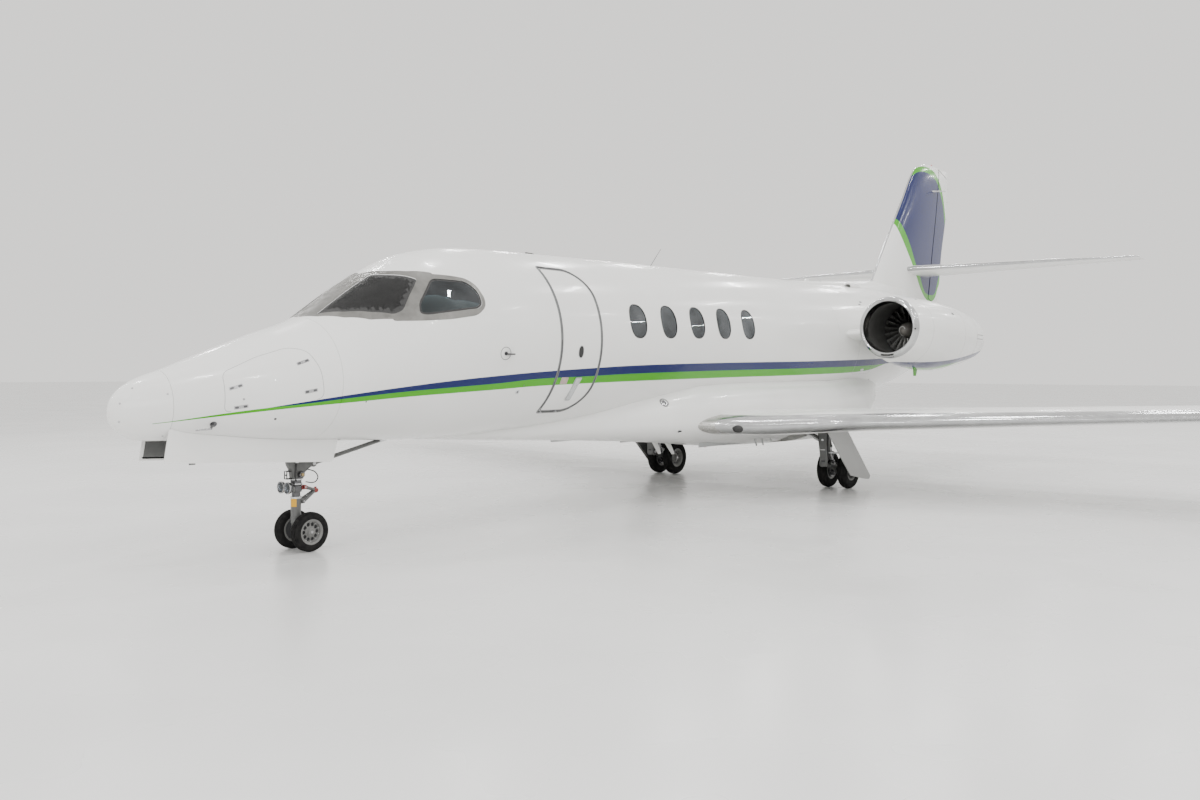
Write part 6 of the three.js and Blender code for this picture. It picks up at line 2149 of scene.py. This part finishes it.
def make_antennas():
    parts = [
        blade("roof_blade", (0, 4.94, 3.165), 0.045, 0.26, 0.02, BLACK, 0.1),
        blade("roof_blade", (0, 7.1, 3.222), 0.034, 0.24, 0.02, BLACK, 0.12),
        block("whip_foot", (-0.014, 7.45, 3.225), (0.014, 7.53, 3.262), WHITE_PAINT, 0.008),
        rod("whip", (0, 7.488, 3.245), (0, 7.747, 3.52), 0.0055, DARK_METAL, 0.003, 12),
        blade("belly_blade", (0, 7.55, 0.745), -0.175, 0.13, 0.15, WHITE_PAINT),
        blade("belly_blade", (0, 7.85, 0.725), -0.18, 0.14, 0.18, WHITE_PAINT),
        block("belly_strake", (-0.02, 5.44, 0.862), (0.02, 5.84, 0.9), GREY_PAINT, 0.008),
        blade("tail_blade", (0, 12.0, 3.34), 0.09, 0.2, 0.09, WHITE_PAINT),
        rod("beacon_foot", (0, 17.93, 6.37), (0, 17.93, 6.386), 0.026, SATIN),
        rod("beacon", (0, 17.93, 6.385), (0, 17.93, 6.41), 0.021, RED_LAMP, 0.014),
        rod("belly_beacon", (0, 8.9, 0.655), (0, 8.9, 0.6), 0.036, RED_LAMP, 0.024),
    ]
    for side, _ in SIDES:
        x = side * 0.7
        parts.append(block("strake", (x - 0.008, 7.7, 0.7), (x + 0.008, 8.88, 0.76), GREY_PAINT, 0.004))
        for station, length in ((8.84, 0.12), (9.03, 0.12), (9.27, 0.07)):
            base = (side * 0.9, station, 0.785)
            parts.append(blade("drain_mast", base, -length, 0.07, 0.06, GREY_PAINT, 0.22))
        parts.append(fin_blade(side))
    piece(merged("antennas", parts))


# The fairing's light, from its ring to its core: radius, material and height
FAIRING_LIGHT = ((0.066, DARK_METAL, 0.003), (0.054, STEEL, 0.0045), (0.03, DARK_METAL, 0.0055))


def make_fairing_marks():
    """The round light and the small fitting on the wing fairing, and the drains behind it."""
    parts = []
    for side, _ in SIDES:
        place = side_spot(side, 6.659, 1.354, FAIRING, FAIRING_POWER)
        for radius, material, height in FAIRING_LIGHT:
            parts.append(disc("light", place, radius, material, height))
        hook = side_spot(side, 6.87, 0.977, FAIRING, FAIRING_POWER)
        parts.append(disc("fitting_plate", hook, 0.02, SATIN, 0.002))
        parts.append(rod("fitting", hook.at(-0.012, -0.02, 0.0), hook.at(0.012, 0.02, 0.022), 0.008, BLACK))
        for station, z in ((12.25, 1.62), (13.0, 1.63)):
            parts.append(disc("drain", side_spot(side, station, z), 0.014, DARK_METAL, 0.002))
    piece(merged("fairing_marks", parts))


# Places across x of the lamps' ends, and between them of the tip lamp's station
WING_LAMP = (1.40, 1.475)
TIP_LAMP = (10.96, 10.99, 11.006)


def make_wing_lamps():
    """A landing lamp under a cover in each wing root's leading edge, and the lamps at the wing tips."""
    parts = []
    for side, _ in SIDES:
        rows = [(x, *WING.at(x)[:2]) for x in WING_LAMP]
        low, high = (Vector((side * x, lead + 0.006, z - 0.036)) for x, lead, z in rows)
        length = (high - low).length
        dome = [(0.052 * math.sin(a), length * (0.5 - 0.5 * math.cos(a))) for a in spread(0, math.pi, 13)]
        parts.append(lathe("lamp_cover", dome, low, high - low, BLACK, 32))
        bulb = low.lerp(high, 0.7) + Vector((0, -0.052, 0.006))
        parts.append(rod("lamp_bulb", bulb, bulb + Vector((0, 0.03, 0)), 0.02, CHROME))
        inner, middle, outer = TIP_LAMP
        lead, z = WING.at(middle)[:2]
        colour = RED_LAMP if side > 0 else GREEN_LAMP
        ends = (side * inner, lead - 0.012, z), (side * outer, lead + 0.1, z)
        parts.append(rod("tip_lamp", *ends, 0.02, colour, 0.012))
    piece(merged("wing_lamps", parts))


def make_wicks():
    """Thin static dischargers on the trailing edges."""
    ailerons, elevators = ([f"{part}_surface_{tag}" for _, tag in SIDES] for part in ("aileron", "elevator"))
    places = {owner: [] for owner in ("airframe", *ailerons, "rudder_surface", *elevators)}
    for (side, _), aileron, elevator in zip(SIDES, ailerons, elevators):
        for owner, table, spans in (
            (aileron, WING, (7.9, 8.7, 9.5)),
            (elevator, STABILISER, (2.6, 3.2, 3.8)),
            ("airframe", WING, (10.95,)),
        ):
            for x in spans:
                _, z, trail = table.at(x)[:3]
                places[owner].append((side * x, trail, z))
    places["rudder_surface"] = [(0, FIN.at(z)[1], z) for z in (5.3, 5.7, 6.0)]
    for owner, feet in places.items():
        rods = []
        for x, y, z in feet:
            rods.append(rod("wick", (x, y - 0.012, z), (x, y + 0.13, z - 0.004), 0.0028, BLACK, 0.0016, 8))
        piece(merged(f"static_wicks_{owner}", rods), owner)


# The edges of the hatch behind the wing and of the baggage door
REAR_HATCHES = (
    rounded([(15.2, 1.95), (15.95, 2.08), (15.95, 2.62), (15.2, 2.55)], 0.08),
    rounded([(12.05, 1.72), (12.75, 1.74), (12.75, 2.32), (12.05, 2.3)], 0.07),
)


def make_tail_marks():
    """Vents and grilles on the dorsal fairing and the rear fuselage, and the hatches under them."""
    parts = []
    frame, latch = superellipse((0, 0), 0.05, 0.018, 5, 20), superellipse((0, 0), 0.06, 0.02, 5, 20)
    for side, _ in SIDES:
        for station, z in ((12.5, 2.95), (12.62, 3.0)):
            spot = side_spot(side, station, z)
            parts.append(plate("vent_frame", spot, frame, -0.003, 0.0015, SATIN, 0.0006))
            for n in range(3):
                slat = superellipse((0, -0.01 + 0.01 * n), 0.042, 0.003, 4, 12)
                parts.append(plate("slat", spot, slat, 0.0, 0.003, DARK))
        parts.append(disc("port", side_spot(side, 12.9, 2.9), 0.016, DARK_METAL, 0.002))
        for hatch in REAR_HATCHES:
            seam = [side_spot(side, y, z) for y, z in dense(hatch, 0.03)]
            parts.append(ribbon("hatch", seam, 0.004, SEAM, 0.0006, True))
        parts.append(plate("latch", side_spot(side, 12.4, 1.8), latch, -0.003, 0.0015, STEEL, 0.0006))
    piece(merged("tail_marks", parts))


def make_radome_screws():
    places = ((0.06, 1.473), (0.057, 1.321), (0.39, 1.189), (0.385, 1.55), (0.16, 1.6))
    spots = [side_spot(side, y, z) for side, _ in SIDES for y, z in places]
    screws = [disc("screw", spot, 0.009, STEEL, 0.001) for spot in spots]
    piece(merged("radome_screws", screws))


def make_inlet_marks(side, tag):
    """The dark slot at the bottom of an inlet's lip and the probe on its outer side."""
    x, z, radius = side * ENGINE["x"], engine_z(11.45), 0.458
    bend = spread(math.radians(-102), math.radians(-76), 9)
    path = [(x + side * radius * math.cos(a), 11.446, z + radius * math.sin(a)) for a in bend]
    at = Vector((x + side * 0.47, 11.45, z - 0.04))
    probe = rod("probe", at, at + Vector((side * 0.012, 0, 0)), 0.013, BLACK)
    piece(merged(f"inlet_marks_{tag}", [tube("slot", path, 0.013, BLACK, 12), probe]))


def make_details():
    make_radome_screws()
    both(make_inlet_marks)
    make_nose_hatches()
    make_probes()
    make_antennas()
    make_fairing_marks()
    make_wing_lamps()
    make_wicks()
    make_tail_marks()


# The photograph's camera, the light and the floor
FRAME_WIDTH = 1200
FOCAL_PIXELS = 975.26
CAMERA = {"x": 8.3675, "station": -3.5931, "z": 1.7474, "yaw": 39.966, "pitch": -0.156, "roll": 0.169}
SENSOR = 36.0
SHIFT_PIXELS = -25.3
FLOOR = {"half": 150, "bottom": -0.2, "top": -0.0005}
SKY = {"Color": (1.0, 0.985, 0.955, 1.0), "Strength": 1.28}
# The hangar's lamps: rows along y, columns along x, and how far every second row is moved aside
LAMPS = {
    "row_gaps": 7, "reach": 24, "column_gaps": 5, "width": 16, "aside": 1.5, "z": 10, "size": (1.3, 0.3),
    "power": 150,
}
FRONT_FILL = {"place": (16, -22, 7), "target": (0, -2, 1.5), "size": (10, 6), "power": 1000}


def make_camera():
    data = bpy.data.cameras.new("camera")
    data.sensor_width = SENSOR
    data.lens = FOCAL_PIXELS / FRAME_WIDTH * SENSOR
    data.shift_y = SHIFT_PIXELS / FRAME_WIDTH
    data.clip_end = 500
    camera = bpy.data.objects.new("camera", data)
    turn = (
        Matrix.Rotation(math.radians(CAMERA["yaw"]), 4, "Z")
        @ Matrix.Rotation(math.radians(90 + CAMERA["pitch"]), 4, "X")
        @ Matrix.Rotation(math.radians(CAMERA["roll"]), 4, "Z")
    )
    place = (CAMERA["x"], CAMERA["station"] - HALF_LENGTH, CAMERA["z"])
    camera.matrix_world = Matrix.Translation(place) @ turn
    bpy.context.scene.collection.objects.link(camera)
    bpy.context.scene.camera = camera


def area_light(name, place, target, size, power):
    data = bpy.data.lights.new(name, "AREA")
    data.shape = "RECTANGLE"
    data.size, data.size_y = size
    data.energy = power
    light = bpy.data.objects.new(name, data)
    aim = Vector(target) - Vector(place)
    light.matrix_world = Matrix.Translation(place) @ aim.to_track_quat("-Z", "Y").to_matrix().to_4x4()
    bpy.context.scene.collection.objects.link(light)


def make_studio():
    half = FLOOR["half"]
    low = (-half, -half + HALF_LENGTH, FLOOR["bottom"])
    high = (half, half + HALF_LENGTH, FLOOR["top"])
    block("studio_floor", low, high, floor_finish(), 0)
    world = bpy.data.worlds.new("studio")
    world.use_nodes = True
    for name, value in SKY.items():
        world.node_tree.nodes["Background"].inputs[name].default_value = value
    bpy.context.scene.world = world
    for row, y in enumerate(spread(-LAMPS["reach"], LAMPS["reach"], LAMPS["row_gaps"])):
        for column, x in enumerate(spread(-LAMPS["width"], LAMPS["width"], LAMPS["column_gaps"])):
            x += LAMPS["aside"] * (row % 2)
            area_light(f"lamp_{row}_{column}", (x, y, LAMPS["z"]), (x, y, 0), LAMPS["size"], LAMPS["power"])
    area_light("front_fill", **FRONT_FILL)


make_camera()
make_fuselage()
make_fairing()
make_windshield()
both(make_cabin_windows)
make_door()
make_cabin()
make_wings()
make_stabiliser()
make_fin()
make_nacelles()
make_landing_gear()
make_details()
make_studio()
